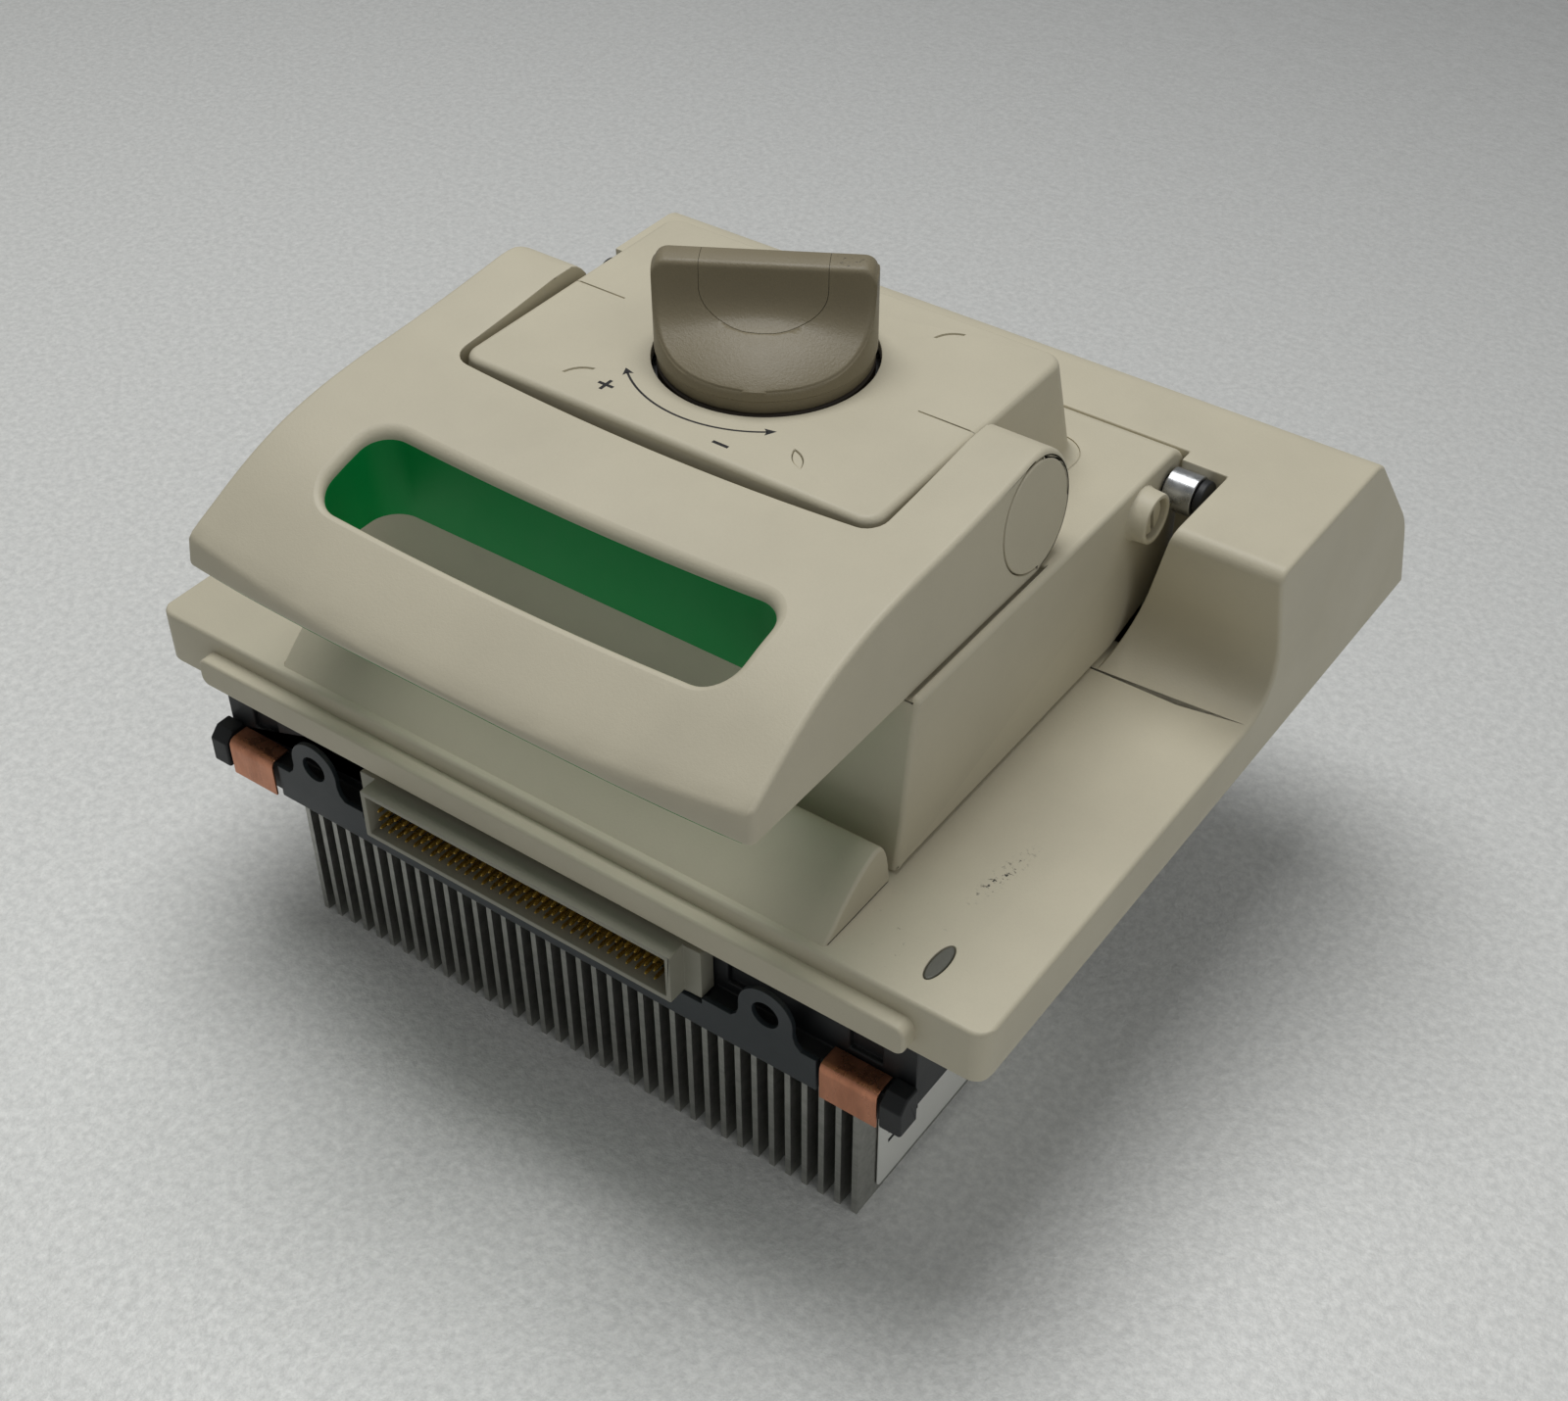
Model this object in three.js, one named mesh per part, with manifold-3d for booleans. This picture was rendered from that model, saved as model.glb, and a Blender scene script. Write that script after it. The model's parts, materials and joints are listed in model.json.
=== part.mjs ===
// Interchangeable 96-well reaction module of a thermal cycler: finned heat sink, black chassis,
// moulded deck, hinged heated lid, latch handle and force knob. Millimetres, +Z up.
// Sub-parts are drawn in deck coordinates: X across, Y towards the rear from the deck's front edge,
// Z up from the deck's top. The last group shifts them so that the origin is under the middle.
import * as THREE from 'three';
import { mergeVertices } from 'three/addons/utils/BufferGeometryUtils.js';
import Module from 'manifold-3d';

const wasm = await Module();
wasm.setup();

// ---- Driving dimensions ---------------------------------------------------------------------
const GAP = 0.3; // between pieces that touch
const SKIN = 3; // wall of the moulded covers

const DECK = { half: 114.6, rear: 198.4, bottom: -14.2, cornerRadius: 4 };
const HOUSING = { front: 114.4, top: 39.8, rearEdge: 164, foot: 12, leftEnd: 87.2 };
const OPENING = { half: 66, front: 42, rear: 144.4, recessHalf: 76.7 };
const NOTCH = { inner: 76, outerTop: 88.3, outerFoot: 76.9, rear: 140.5 };
const RAIL = { half: 98.5, bottom: -12.4, top: -4.8, depth: 4 };
const RAMP = { half: 75.7, front: 2, crest: 20.6, height: 12.3, rear: 25.5 };
const LENS = { x: 96.3, y: 12, length: 10, width: 3.6 };

const LID = { half: 76, top: 43, frontFoot: 27, frontTop: 33, rearTop: 138.4, foot: 0.4 };
const PLATE = { half: 54, footHalf: 57.6, front: 48.5, rear: 123.7, rearFoot: 126.5, top: 67.2 };
const BOSS = { y: 123, z: 35, radius: 6, reach: 80.5, recess: 4.7 };
const HINGE = { y: 136, z: 34.9, pinRadius: 2.5, barrelRadius: 4.9, inner: 76.9, outer: 84 };

const HANDLE = { half: 73.8, bottom: 42.4, front: -20, armInner: 58.6, armInnerTop: 55.2, armFront: 47.2, swing: 35.7, dish: 3.6 };
const PIVOT = { y: 81.7, z: 57.1, endRadius: 14.3, capRadius: 12.4, pinRadius: 4 };
const WINDOW = { half: 53, front: -0.6, rear: 22.4, radius: 7 };

const KNOB = { x: 0, y: 87.3, radius: 24.3, bottom: 66.4, top: 91, turn: 30, barHalf: 3.2 };
const SCREW = { radius: 5, bottom: 36 };
const PLATEN = { halfX: 56, halfY: 38, bottom: 22, thick: 6 };

const WELLS = { columns: 12, rows: 8, pitch: 9, mouth: 3.1, floor: 1.4, depth: 14.5 };
const BLOCK = { halfX: 54, halfY: 36, top: 8, bottom: -12, flange: 6, flangeThick: 4 };
const SINK = { half: 82.4, front: 5.7, rear: 165, top: -18.4, base: -30, bottom: -86.4 };
const FINS = { count: 37, thick: 1.5 };

const FRAME = { half: 98.4, front: -2, rear: 178, barTop: -28.6, barBottom: -38, railTop: -15 };
const EARS = { x: 64.6, z: -22.4, radius: 7, hole: 3.4, front: -3.6, back: -2.3 };
const STRAP = { inner: 78.8, outer: 93, front: -4.4, top: -27.2, bottom: -37.6, rear: 1.6 };
const CONNECTOR = { x: -1, z: -22.2, half: 44, tall: 13.9, front: -7.6, flange: 4.5 };
const PINS = { columns: 32, rows: 3, pitch: 2.54, side: 0.64, tip: -7.2 };

const ORIGIN = { y: (HANDLE.front + DECK.rear) / 2, z: SINK.bottom };

// ---- Materials ------------------------------------------------------------------------------
function finish(color, roughness, metalness = 0) {
  return new THREE.MeshStandardMaterial({ color, roughness, metalness });
}

const MATERIAL = {
  casing: finish(0xb8b29e, 0.55),
  knob: finish(0x827964, 0.5),
  green: finish(0x0e5430, 0.5),
  black: finish(0x16181a, 0.55),
  slate: finish(0x1e2326, 0.5),
  shroud: finish(0x7a7a6c, 0.6),
  gold: finish(0xc9a24a, 0.3, 1),
  copper: finish(0xb0674a, 0.35, 1),
  aluminium: finish(0xa2a29c, 0.45, 1),
  steel: finish(0xb5b8bb, 0.3, 1),
  brass: finish(0xb89a4e, 0.35, 1),
  label: finish(0xe4e4de, 0.6),
  rubber: finish(0x1c1c1c, 0.9),
  ceramic: finish(0xe9e6dc, 0.7),
  board: finish(0x1d4a2c, 0.6),
  lens: finish(0x4b4a42, 0.3),
  heater: finish(0xb2582c, 0.7),
};

// ---- Solids ---------------------------------------------------------------------------------
// A closed geometry as a manifold solid, ready for joining and cutting.
function solid(geometry) {
  const bare = geometry.clone();
  bare.deleteAttribute('normal');
  bare.deleteAttribute('uv');
  const merged = mergeVertices(bare, 1e-4);
  return new wasm.Manifold(new wasm.Mesh({
    numProp: 3,
    vertProperties: Float32Array.from(merged.attributes.position.array),
    triVerts: Uint32Array.from(merged.index.array),
  }));
}

function box(x0, x1, y0, y1, z0, z1) {
  const geometry = new THREE.BoxGeometry(x1 - x0, y1 - y0, z1 - z0);
  return solid(geometry.translate((x0 + x1) / 2, (y0 + y1) / 2, (z0 + z1) / 2));
}

function rodX(y, z, radius, x0, x1, sides = 24) {
  const geometry = new THREE.CylinderGeometry(radius, radius, x1 - x0, sides);
  return solid(geometry.rotateZ(Math.PI / 2).translate((x0 + x1) / 2, y, z));
}

function rodY(x, z, radius, y0, y1, sides = 24) {
  const geometry = new THREE.CylinderGeometry(radius, radius, y1 - y0, sides);
  return solid(geometry.translate(x, (y0 + y1) / 2, z));
}

function rodZ(x, y, radius, z0, z1, sides = 24, topRadius = radius) {
  const geometry = new THREE.CylinderGeometry(topRadius, radius, z1 - z0, sides);
  return solid(geometry.rotateX(Math.PI / 2).translate(x, y, (z0 + z1) / 2));
}

function extrude(shape, depth, steps = 1) {
  return new THREE.ExtrudeGeometry(shape, { depth, steps, bevelEnabled: false, curveSegments: 6 });
}

const [X, Y, Z] = [new THREE.Vector3(1, 0, 0), new THREE.Vector3(0, 1, 0), new THREE.Vector3(0, 0, 1)];

// A (y, z) outline drawn out along X.
function extrudeX(shape, x0, x1) {
  const turn = new THREE.Matrix4().makeBasis(Y, Z, X);
  return solid(extrude(shape, x1 - x0).applyMatrix4(turn).translate(x0, 0, 0));
}

// An (x, z) outline drawn out along Y.
function extrudeY(shape, y0, y1) {
  const turn = new THREE.Matrix4().makeBasis(X, Z, Y.clone().negate());
  return solid(extrude(shape, y1 - y0).applyMatrix4(turn).translate(0, y1, 0));
}

// An (x, y) outline drawn out along Z.
function extrudeZ(shape, z0, z1) {
  return solid(extrude(shape, z1 - z0).translate(0, 0, z0));
}

function outline(points) {
  return new THREE.Shape(points.map(([u, v]) => new THREE.Vector2(u, v)));
}

function roundedRect(u0, u1, v0, v1, radius) {
  const shape = new THREE.Shape();
  shape.absarc(u1 - radius, v0 + radius, radius, -Math.PI / 2, 0);
  shape.absarc(u1 - radius, v1 - radius, radius, 0, Math.PI / 2);
  shape.absarc(u0 + radius, v1 - radius, radius, Math.PI / 2, Math.PI);
  shape.absarc(u0 + radius, v0 + radius, radius, Math.PI, Math.PI * 1.5);
  shape.closePath();
  return shape;
}

// A closed skin through rings of equal point counts, one ring for each X station.
function loftX(stations, ringAt) {
  const rings = stations.map((x) => ringAt(x));
  const count = rings[0].length;
  const positions = rings.flatMap((ring, i) => ring.flatMap(([y, z]) => [stations[i], y, z]));
  const index = [];
  for (let i = 0; i < rings.length - 1; i += 1) {
    for (let j = 0; j < count; j += 1) {
      const k = (j + 1) % count;
      const [a, b] = [i * count + j, i * count + k];
      index.push(a, b, b + count, a, b + count, a + count);
    }
  }
  const cap = rings[0].map(([y, z]) => new THREE.Vector2(y, z));
  const last = (rings.length - 1) * count;
  for (const [a, b, c] of THREE.ShapeUtils.triangulateShape(cap, [])) {
    index.push(a, c, b, a + last, b + last, c + last);
  }
  const geometry = new THREE.BufferGeometry();
  geometry.setAttribute('position', new THREE.Float32BufferAttribute(positions, 3));
  geometry.setIndex(index);
  return solid(geometry);
}

function joinAll(pieces) {
  return pieces.reduce((whole, piece) => whole.add(piece));
}

function cutAll(whole, tools) {
  return tools.reduce((rest, tool) => rest.subtract(tool), whole);
}

function bothSides(make) {
  return [make(-1), make(1)];
}

// The span between two X distances on one side of the middle.
function span(side, near, far) {
  return side > 0 ? [near, far] : [-far, -near];
}

function range(count) {
  return Array.from({ length: count }, (_, i) => i);
}

// ---- Scene ----------------------------------------------------------------------------------
const moduleGroup = new THREE.Group();
moduleGroup.position.set(0, -ORIGIN.y, -ORIGIN.z);

function piece(name, body, material) {
  const { vertProperties, triVerts } = body.getMesh();
  const geometry = new THREE.BufferGeometry();
  geometry.setAttribute('position', new THREE.Float32BufferAttribute(vertProperties, 3));
  geometry.setIndex(new THREE.Uint32BufferAttribute(triVerts, 1));
  geometry.computeVertexNormals();
  const mesh = new THREE.Mesh(geometry, material);
  mesh.name = name;
  moduleGroup.add(mesh);
}

const SIDE_NAME = { [-1]: 'left', 1: 'right' };

// ---- Deck casing ----------------------------------------------------------------------------
// Side outline of the deck and rear housing: cove at the foot of the housing, sloped rounded back.
function casingOutline(inset, bottom) {
  const { rear } = DECK;
  const { front, top, rearEdge, foot } = HOUSING;
  const shape = new THREE.Shape();
  shape.moveTo(inset, bottom);
  shape.lineTo(inset, -inset - 1.2);
  shape.quadraticCurveTo(inset, -inset, inset + 1.2, -inset);
  shape.lineTo(front - 6 + inset, -inset);
  shape.quadraticCurveTo(front + 6 + inset, -inset, front + 5.4 + inset, foot);
  shape.lineTo(front + inset, top - 3 - inset);
  shape.quadraticCurveTo(front + inset, top - inset, front + 3 + inset, top - inset);
  shape.lineTo(rearEdge - inset, top - inset);
  shape.lineTo(rear - 18 - inset, top - 17.6 - inset);
  shape.quadraticCurveTo(rear - 2 - inset, 2 - inset, rear - inset, bottom);
  shape.closePath();
  return shape;
}

function rampOutline() {
  const shape = new THREE.Shape();
  shape.moveTo(RAMP.front, -1);
  shape.lineTo(RAMP.front, 0);
  shape.quadraticCurveTo(9, 8.4, RAMP.crest, RAMP.height);
  shape.quadraticCurveTo(RAMP.crest + 2.6, RAMP.height - 1, RAMP.rear, 0);
  shape.lineTo(RAMP.rear, -1);
  shape.closePath();
  return shape;
}

function frontRail() {
  const { half, bottom, top, depth } = RAIL;
  return extrudeY(roundedRect(-half, half, bottom, top, 3), -depth, 1);
}

function lensOutline(grow) {
  const [half, reach] = [LENS.width / 2 + grow, LENS.length / 2 + grow];
  const shape = new THREE.Shape();
  shape.moveTo(LENS.x, LENS.y - reach);
  shape.quadraticCurveTo(LENS.x + 2 * half, LENS.y, LENS.x, LENS.y + reach);
  shape.quadraticCurveTo(LENS.x - 2 * half, LENS.y, LENS.x, LENS.y - reach);
  return shape;
}

function deckCasing() {
  const { half, rear, bottom, cornerRadius } = DECK;
  const plan = extrudeZ(roundedRect(-half, half, 0, rear, cornerRadius), bottom, HOUSING.top + 1);
  const body = extrudeX(casingOutline(0, bottom), -half, half).intersect(plan);
  const hollow = extrudeX(casingOutline(SKIN, bottom - 1), SKIN - half, half - SKIN);
  const ramp = extrudeX(rampOutline(), -RAMP.half, RAMP.half);
  const opening = box(-OPENING.half, OPENING.half, OPENING.front, OPENING.rear, -20, 50);
  const { recessHalf } = OPENING;
  const recess = box(-recessHalf, recessHalf, HOUSING.front - 8, OPENING.rear, 0.01, 50);
  const recessFloor = box(-recessHalf, recessHalf, HOUSING.front + 6, OPENING.rear, -20, 1);
  const notches = bothSides((side) => {
    const { inner, outerTop, outerFoot } = NOTCH;
    const points = [[inner - 2, -0.01], [outerFoot, -0.01], [outerTop, HOUSING.top], [outerTop, 50], [inner - 2, 50]];
    const mirrored = points.map(([x, z]) => [side * x, z]);
    const turned = side > 0 ? mirrored : mirrored.reverse();
    return extrudeY(outline(turned), HOUSING.front - 8, NOTCH.rear);
  });
  const lensHole = extrudeZ(lensOutline(GAP), -1.6, 1);
  const beside = box(-130, -HOUSING.leftEnd, 100, 210, 0, 50);
  const besideInner = box(-130, SKIN - HOUSING.leftEnd, 100, 210, -SKIN, 50);
  const hingeOpening = box(-130, 0.2 - NOTCH.outerFoot, 100, NOTCH.rear, 26, 50);
  const shell = body.subtract(hollow.subtract(besideInner)).add(ramp).add(frontRail());
  return cutAll(shell, [opening, recess, recessFloor, lensHole, beside, hingeOpening, ...notches]);
}

piece('deck_casing', deckCasing(), MATERIAL.casing);
piece('status_lens', extrudeZ(lensOutline(0), -1.3, 0.2), MATERIAL.lens);

// ---- Heat sink ------------------------------------------------------------------------------
const SCREW_SPOTS = [[-1, -1], [1, -1], [-1, 1], [1, 1]].map(([sx, sy]) => [
  sx * (BLOCK.halfX + BLOCK.flange / 2),
  KNOB.y + sy * (BLOCK.halfY - 6),
]);

function heatSink() {
  const { half, front, rear, top, base, bottom } = SINK;
  const pitch = (2 * half - FINS.thick) / (FINS.count - 1);
  const points = [[half, top], [-half, top]];
  for (const i of range(FINS.count)) {
    const left = -half + i * pitch;
    if (i > 0) points.push([left, base]);
    points.push([left, bottom], [left + FINS.thick, bottom]);
    if (i < FINS.count - 1) points.push([left + FINS.thick, base]);
  }
  const body = extrudeY(outline(points), front, rear);
  return cutAll(body, SCREW_SPOTS.map(([x, y]) => rodZ(x, y, 2.3, base + 3, top + 1, 12)));
}

piece('heat_sink', heatSink(), MATERIAL.aluminium);
piece('heat_sink_label', box(SINK.half + GAP, SINK.half + GAP + 0.3, 13, 88, -84, -50), MATERIAL.label);

// ---- Chassis frame --------------------------------------------------------------------------
const FLANGE_BOX = {
  x0: CONNECTOR.x - CONNECTOR.half - CONNECTOR.flange,
  x1: CONNECTOR.x + CONNECTOR.half + CONNECTOR.flange,
  z0: CONNECTOR.z - CONNECTOR.tall / 2,
  z1: CONNECTOR.z + CONNECTOR.tall / 2,
};

function chassisFrame() {
  const { half, front, rear, barTop, barBottom, railTop } = FRAME;
  const [innerX, innerY] = [SINK.half + 1, SINK.front - 0.5];
  const ring = box(-half, half, 2, rear, -34, railTop).subtract(
    box(-innerX, innerX, innerY, SINK.rear + 1, -40, 0),
  );
  const bar = box(-half + 5, half - 5, front, innerY, barBottom, barTop);
  const seat = box(FLANGE_BOX.x0 - 0.5, FLANGE_BOX.x1 + 0.5, front - 1, 2, FLANGE_BOX.z0 - 0.5, 0);
  return ring.add(bar).subtract(seat);
}

piece('chassis_frame', chassisFrame(), MATERIAL.black);

function earBracket() {
  const { x, z, radius, hole, front, back } = EARS;
  const bar = box(1 + GAP - STRAP.inner, STRAP.inner - GAP - 1, front, back, -37.4, -28);
  const ears = bothSides((side) => {
    const tab = box(side * x - radius, side * x + radius, front, back, -29, z);
    const hub = rodY(side * x, z, radius, front, back, 32);
    return tab.add(hub).subtract(rodY(side * x, z, hole, front - 1, back + 1, 24));
  });
  const relief = box(FLANGE_BOX.x0 - 0.5, FLANGE_BOX.x1 + 0.5, front - 1, back + 1, FLANGE_BOX.z0 - 0.5, 0);
  return joinAll([bar, ...ears]).subtract(relief);
}

piece('ear_bracket', earBracket(), MATERIAL.slate);

for (const side of [-1, 1]) {
  const [x0, x1] = span(side, STRAP.inner, STRAP.outer);
  const face = box(x0, x1, STRAP.front, STRAP.front + 1, STRAP.bottom, STRAP.top);
  const lap = box(x0, x1, STRAP.front, STRAP.rear, STRAP.top - 1, STRAP.top);
  piece(`earth_strap_${SIDE_NAME[side]}`, face.add(lap), MATERIAL.copper);
  const [b0, b1] = span(side, FRAME.half - 4.6, FRAME.half + 0.8);
  piece(`end_block_${SIDE_NAME[side]}`, box(b0, b1, -4.8, 1.7, -36.4, -26.6), MATERIAL.black);
  const teeth = range(4).map((i) => box(...span(side, 101, 107), 138 + 3 * i, 139.6 + 3 * i, -30, -17));
  const back = box(...span(side, FRAME.half + GAP, 101.5), 138, 149, -30, -17);
  piece(`side_guide_${SIDE_NAME[side]}`, joinAll([back, ...teeth]), MATERIAL.black);
}

// ---- Edge connector -------------------------------------------------------------------------
function connectorShroud() {
  const { x, z, half, tall, front } = CONNECTOR;
  const tube = box(x - half, x + half, front, -2.8, z - tall / 2, z + tall / 2);
  const flange = box(FLANGE_BOX.x0, FLANGE_BOX.x1, -2.8, 1.6, FLANGE_BOX.z0, FLANGE_BOX.z1);
  const inside = box(x - half + 1.4, x + half - 1.4, front - 1, -0.4, z - tall / 2 + 1.4, z + tall / 2 - 1.4);
  return tube.add(flange).subtract(inside);
}

function connectorPins() {
  const { columns, rows, pitch, side, tip } = PINS;
  const { x, z, half, tall } = CONNECTOR;
  const floor = box(x - half + 1.8, x + half - 1.8, -1.6, -0.7, z - tall / 2 + 1.8, z + tall / 2 - 1.8);
  const pins = range(columns * rows).map((i) => {
    const px = x + ((i % columns) - (columns - 1) / 2) * pitch;
    const pz = z + (Math.floor(i / columns) - (rows - 1) / 2) * pitch;
    return box(px - side / 2, px + side / 2, tip, -1.2, pz - side / 2, pz + side / 2);
  });
  return joinAll([floor, ...pins]);
}

piece('connector_shroud', connectorShroud(), MATERIAL.shroud);
piece('connector_pins', connectorPins(), MATERIAL.gold);

// ---- Reaction block and thermoelectric stack ------------------------------------------------
function sampleBlock() {
  const { halfX, halfY, top, bottom, flange, flangeThick } = BLOCK;
  const body = box(-halfX, halfX, KNOB.y - halfY, KNOB.y + halfY, bottom, top);
  const rim = box(-halfX - flange, halfX + flange, KNOB.y - halfY, KNOB.y + halfY, bottom, bottom + flangeThick);
  const { columns, rows, pitch, mouth, floor, depth } = WELLS;
  const wells = range(columns * rows).map((i) => {
    const x = ((i % columns) - (columns - 1) / 2) * pitch;
    const y = KNOB.y + (Math.floor(i / columns) - (rows - 1) / 2) * pitch;
    const slope = (mouth - floor) / depth;
    return rodZ(x, y, floor, top - depth, top + 1, 6, mouth + slope);
  });
  const holes = SCREW_SPOTS.map(([x, y]) => rodZ(x, y, 2.3, bottom - 1, top, 12));
  return cutAll(body.add(rim), [...wells, ...holes]);
}

piece('sample_block', sampleBlock(), MATERIAL.aluminium);

for (const [i, [x, y]] of SCREW_SPOTS.entries()) {
  const head = rodZ(x, y, 2.9, BLOCK.bottom + BLOCK.flangeThick + GAP, -4.4, 16);
  const shank = rodZ(x, y, 2, SINK.base + 4, -5, 12);
  piece(`block_screw_${i + 1}`, head.add(shank), MATERIAL.steel);
}

const STACK = { pad: [-13.1, -12.3], module: [-18.1, -13.4] };
piece('thermal_pad', box(-53, 53, KNOB.y - 35, KNOB.y + 35, ...STACK.pad), MATERIAL.ceramic);
for (const i of range(6)) {
  const [cx, cy] = [((i % 3) - 1) * 35.6, KNOB.y + (i < 3 ? -17.6 : 17.6)];
  piece(`peltier_module_${i + 1}`, box(cx - 17, cx + 17, cy - 17, cy + 17, ...STACK.module), MATERIAL.ceramic);
}

function blockGasket() {
  const outer = extrudeZ(roundedRect(-65.5, 65.5, 44, 130.6, 3), -3, 4);
  const { halfX, halfY } = BLOCK;
  return outer.subtract(box(-halfX - 0.4, halfX + 0.4, KNOB.y - halfY - 0.4, KNOB.y + halfY + 0.4, -5, 6));
}

piece('block_gasket', blockGasket(), MATERIAL.rubber);
piece('block_sensor', rodY(30, -4.5, 1.4, KNOB.y + BLOCK.halfY + GAP, 140, 12), MATERIAL.steel);

function controlBoard() {
  const board = box(-62, 62, 148, 184, -9, -7.4);
  const chips = range(4).map((i) => box(-48 + 26 * i, -34 + 26 * i, 156, 170, -8, -4.6));
  return joinAll([board, ...chips]);
}

piece('control_board', controlBoard(), MATERIAL.board);

// ---- Lid ------------------------------------------------------------------------------------
// Side outline of the lid below its raised plate; the tail under the bridge is cut back to swing.
function lidOutline(inset) {
  const { top, frontFoot, frontTop, rearTop, foot } = LID;
  const low = inset > 0 ? foot - 5 : foot;
  const shape = new THREE.Shape();
  shape.moveTo(frontFoot + inset, low);
  shape.lineTo(frontTop - 0.4 + inset, top - 2 - inset);
  shape.quadraticCurveTo(frontTop + inset, top - inset, frontTop + 2 + inset, top - inset);
  shape.lineTo(rearTop - inset, top - 0.6 - inset);
  shape.lineTo(rearTop + 2.6 - inset, HINGE.z + 3.4 - inset);
  shape.lineTo(142.8 - inset, 27.9);
  shape.lineTo(145.4 - inset, 18.8);
  shape.lineTo(145.4 - inset, 14);
  shape.lineTo(132 - inset, inset > 0 ? low : 4);
  if (inset === 0) shape.lineTo(116, foot);
  shape.closePath();
  return shape;
}

function raisedPlate(inset) {
  const { half, footHalf, front, rear, rearFoot, top } = PLATE;
  const [z0, z1] = [LID.top - 4, top - inset];
  const upper = extrudeZ(roundedRect(inset - half, half - inset, front + inset, rear - inset, 4), z0, z1);
  const flank = outline([
    [inset - footHalf, z0], [footHalf - inset, z0], [footHalf - inset, LID.top],
    [half - inset, z1], [inset - half, z1], [inset - footHalf, LID.top],
  ]);
  const wide = extrudeZ(roundedRect(inset - footHalf, footHalf - inset, front - 0.5 + inset, rearFoot - inset, 4), z0, z1);
  return wide.intersect(extrudeY(flank, front - 1, rearFoot + 1)).add(upper);
}

function lidCover() {
  const { half, top } = LID;
  const body = extrudeX(lidOutline(0), -half, half).add(raisedPlate(0));
  const bosses = bothSides((side) => rodX(BOSS.y, BOSS.z, BOSS.radius, ...span(side, half - 1, BOSS.reach)));
  const hollow = extrudeX(lidOutline(SKIN), SKIN - half, half - SKIN).add(raisedPlate(SKIN));
  const seatFloor = HANDLE.bottom - 0.5;
  const cuts = [
    box(1.5 - half, half - 1.5, 20, PLATE.front - 0.6, seatFloor, top + 5),
    rodZ(KNOB.x, KNOB.y, KNOB.radius + 0.9, top, PLATE.top + 1, 36),
    rodX(HINGE.y, HINGE.z, HINGE.pinRadius + 0.4, -90, 90, 16),
  ];
  for (const side of [-1, 1]) {
    cuts.push(rodX(BOSS.y, BOSS.z, BOSS.recess, ...span(side, half + 1, 90)));
    cuts.push(rodX(BOSS.y, BOSS.z, 2.3, ...span(side, half - 10, 90), 12));
    cuts.push(rodX(PIVOT.y, PIVOT.z, PIVOT.pinRadius + GAP, ...span(side, PLATE.half - 10, 70), 16));
    cuts.push(box(...span(side, PLATE.footHalf + 0.1, half - 1.5), 20, PIVOT.y + 16, seatFloor, top + 5));
  }
  return cutAll(joinAll([body, ...bosses]).subtract(hollow), cuts);
}

piece('lid_cover', lidCover(), MATERIAL.casing);

for (const side of [-1, 1]) {
  const name = SIDE_NAME[side];
  const head = rodX(BOSS.y, BOSS.z, BOSS.recess - 0.4, ...span(side, LID.half + 1.3, BOSS.reach - 0.8));
  const slot = box(...span(side, BOSS.reach - 1.8, 90), BOSS.y - 0.5, BOSS.y + 0.5, BOSS.z - 9, BOSS.z + 9);
  const shank = rodX(BOSS.y, BOSS.z, 2, ...span(side, LID.half - 6, LID.half + 2), 12);
  piece(`lid_screw_${name}`, head.subtract(slot).add(shank), MATERIAL.casing);

  const pin = rodX(PIVOT.y, PIVOT.z, PIVOT.pinRadius, ...span(side, PLATE.half - 5, 70), 16);
  piece(`handle_pivot_pin_${name}`, pin, MATERIAL.steel);

  const barrel = rodX(HINGE.y, HINGE.z, HINGE.barrelRadius, ...span(side, HINGE.inner, HINGE.outer));
  const leaf = box(...span(side, HINGE.inner, HINGE.outer), HINGE.y + 1, 160, 34.2, 36.2);
  const bore = rodX(HINGE.y, HINGE.z, HINGE.pinRadius + GAP, ...span(side, HINGE.inner - 1, 90), 16);
  piece(`hinge_leaf_${name}`, barrel.add(leaf).subtract(bore), MATERIAL.steel);

  const cap = rodX(HINGE.y, HINGE.z, HINGE.barrelRadius - 0.5, ...span(side, HINGE.outer + GAP, HINGE.outer + 2.2));
  piece(`hinge_cap_${name}`, cap, MATERIAL.black);
}

piece('hinge_pin', rodX(HINGE.y, HINGE.z, HINGE.pinRadius, -HINGE.outer, HINGE.outer, 16), MATERIAL.steel);

function lidInnerTray() {
  const outer = box(-72.5, 72.5, 50, 129.5, 10, 13);
  return outer.subtract(box(-60, 60, 40, 126.6, 9, 14));
}

piece('lid_inner_tray', lidInnerTray(), MATERIAL.black);

function bearingPlate() {
  const disc = rodZ(KNOB.x, KNOB.y, 32, 57.4, 60.4, 40);
  const rails = box(-48, 48, KNOB.y - 6, KNOB.y + 6, 57.4, 60.4);
  return disc.add(rails).subtract(rodZ(KNOB.x, KNOB.y, 9.4, 50, 70));
}

piece('knob_bearing_plate', bearingPlate(), MATERIAL.steel);
const bushing = rodZ(KNOB.x, KNOB.y, 9, 54, 62).subtract(rodZ(KNOB.x, KNOB.y, SCREW.radius + 0.4, 50, 70));
piece('knob_bushing', bushing, MATERIAL.brass);

// ---- Latch ----------------------------------------------------------------------------------
const LATCH = { y: 40.5, z: 34, shaft: 2.5, half: 62 };
piece('latch_shaft', rodX(LATCH.y, LATCH.z, LATCH.shaft, -LATCH.half, LATCH.half, 16), MATERIAL.steel);

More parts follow.
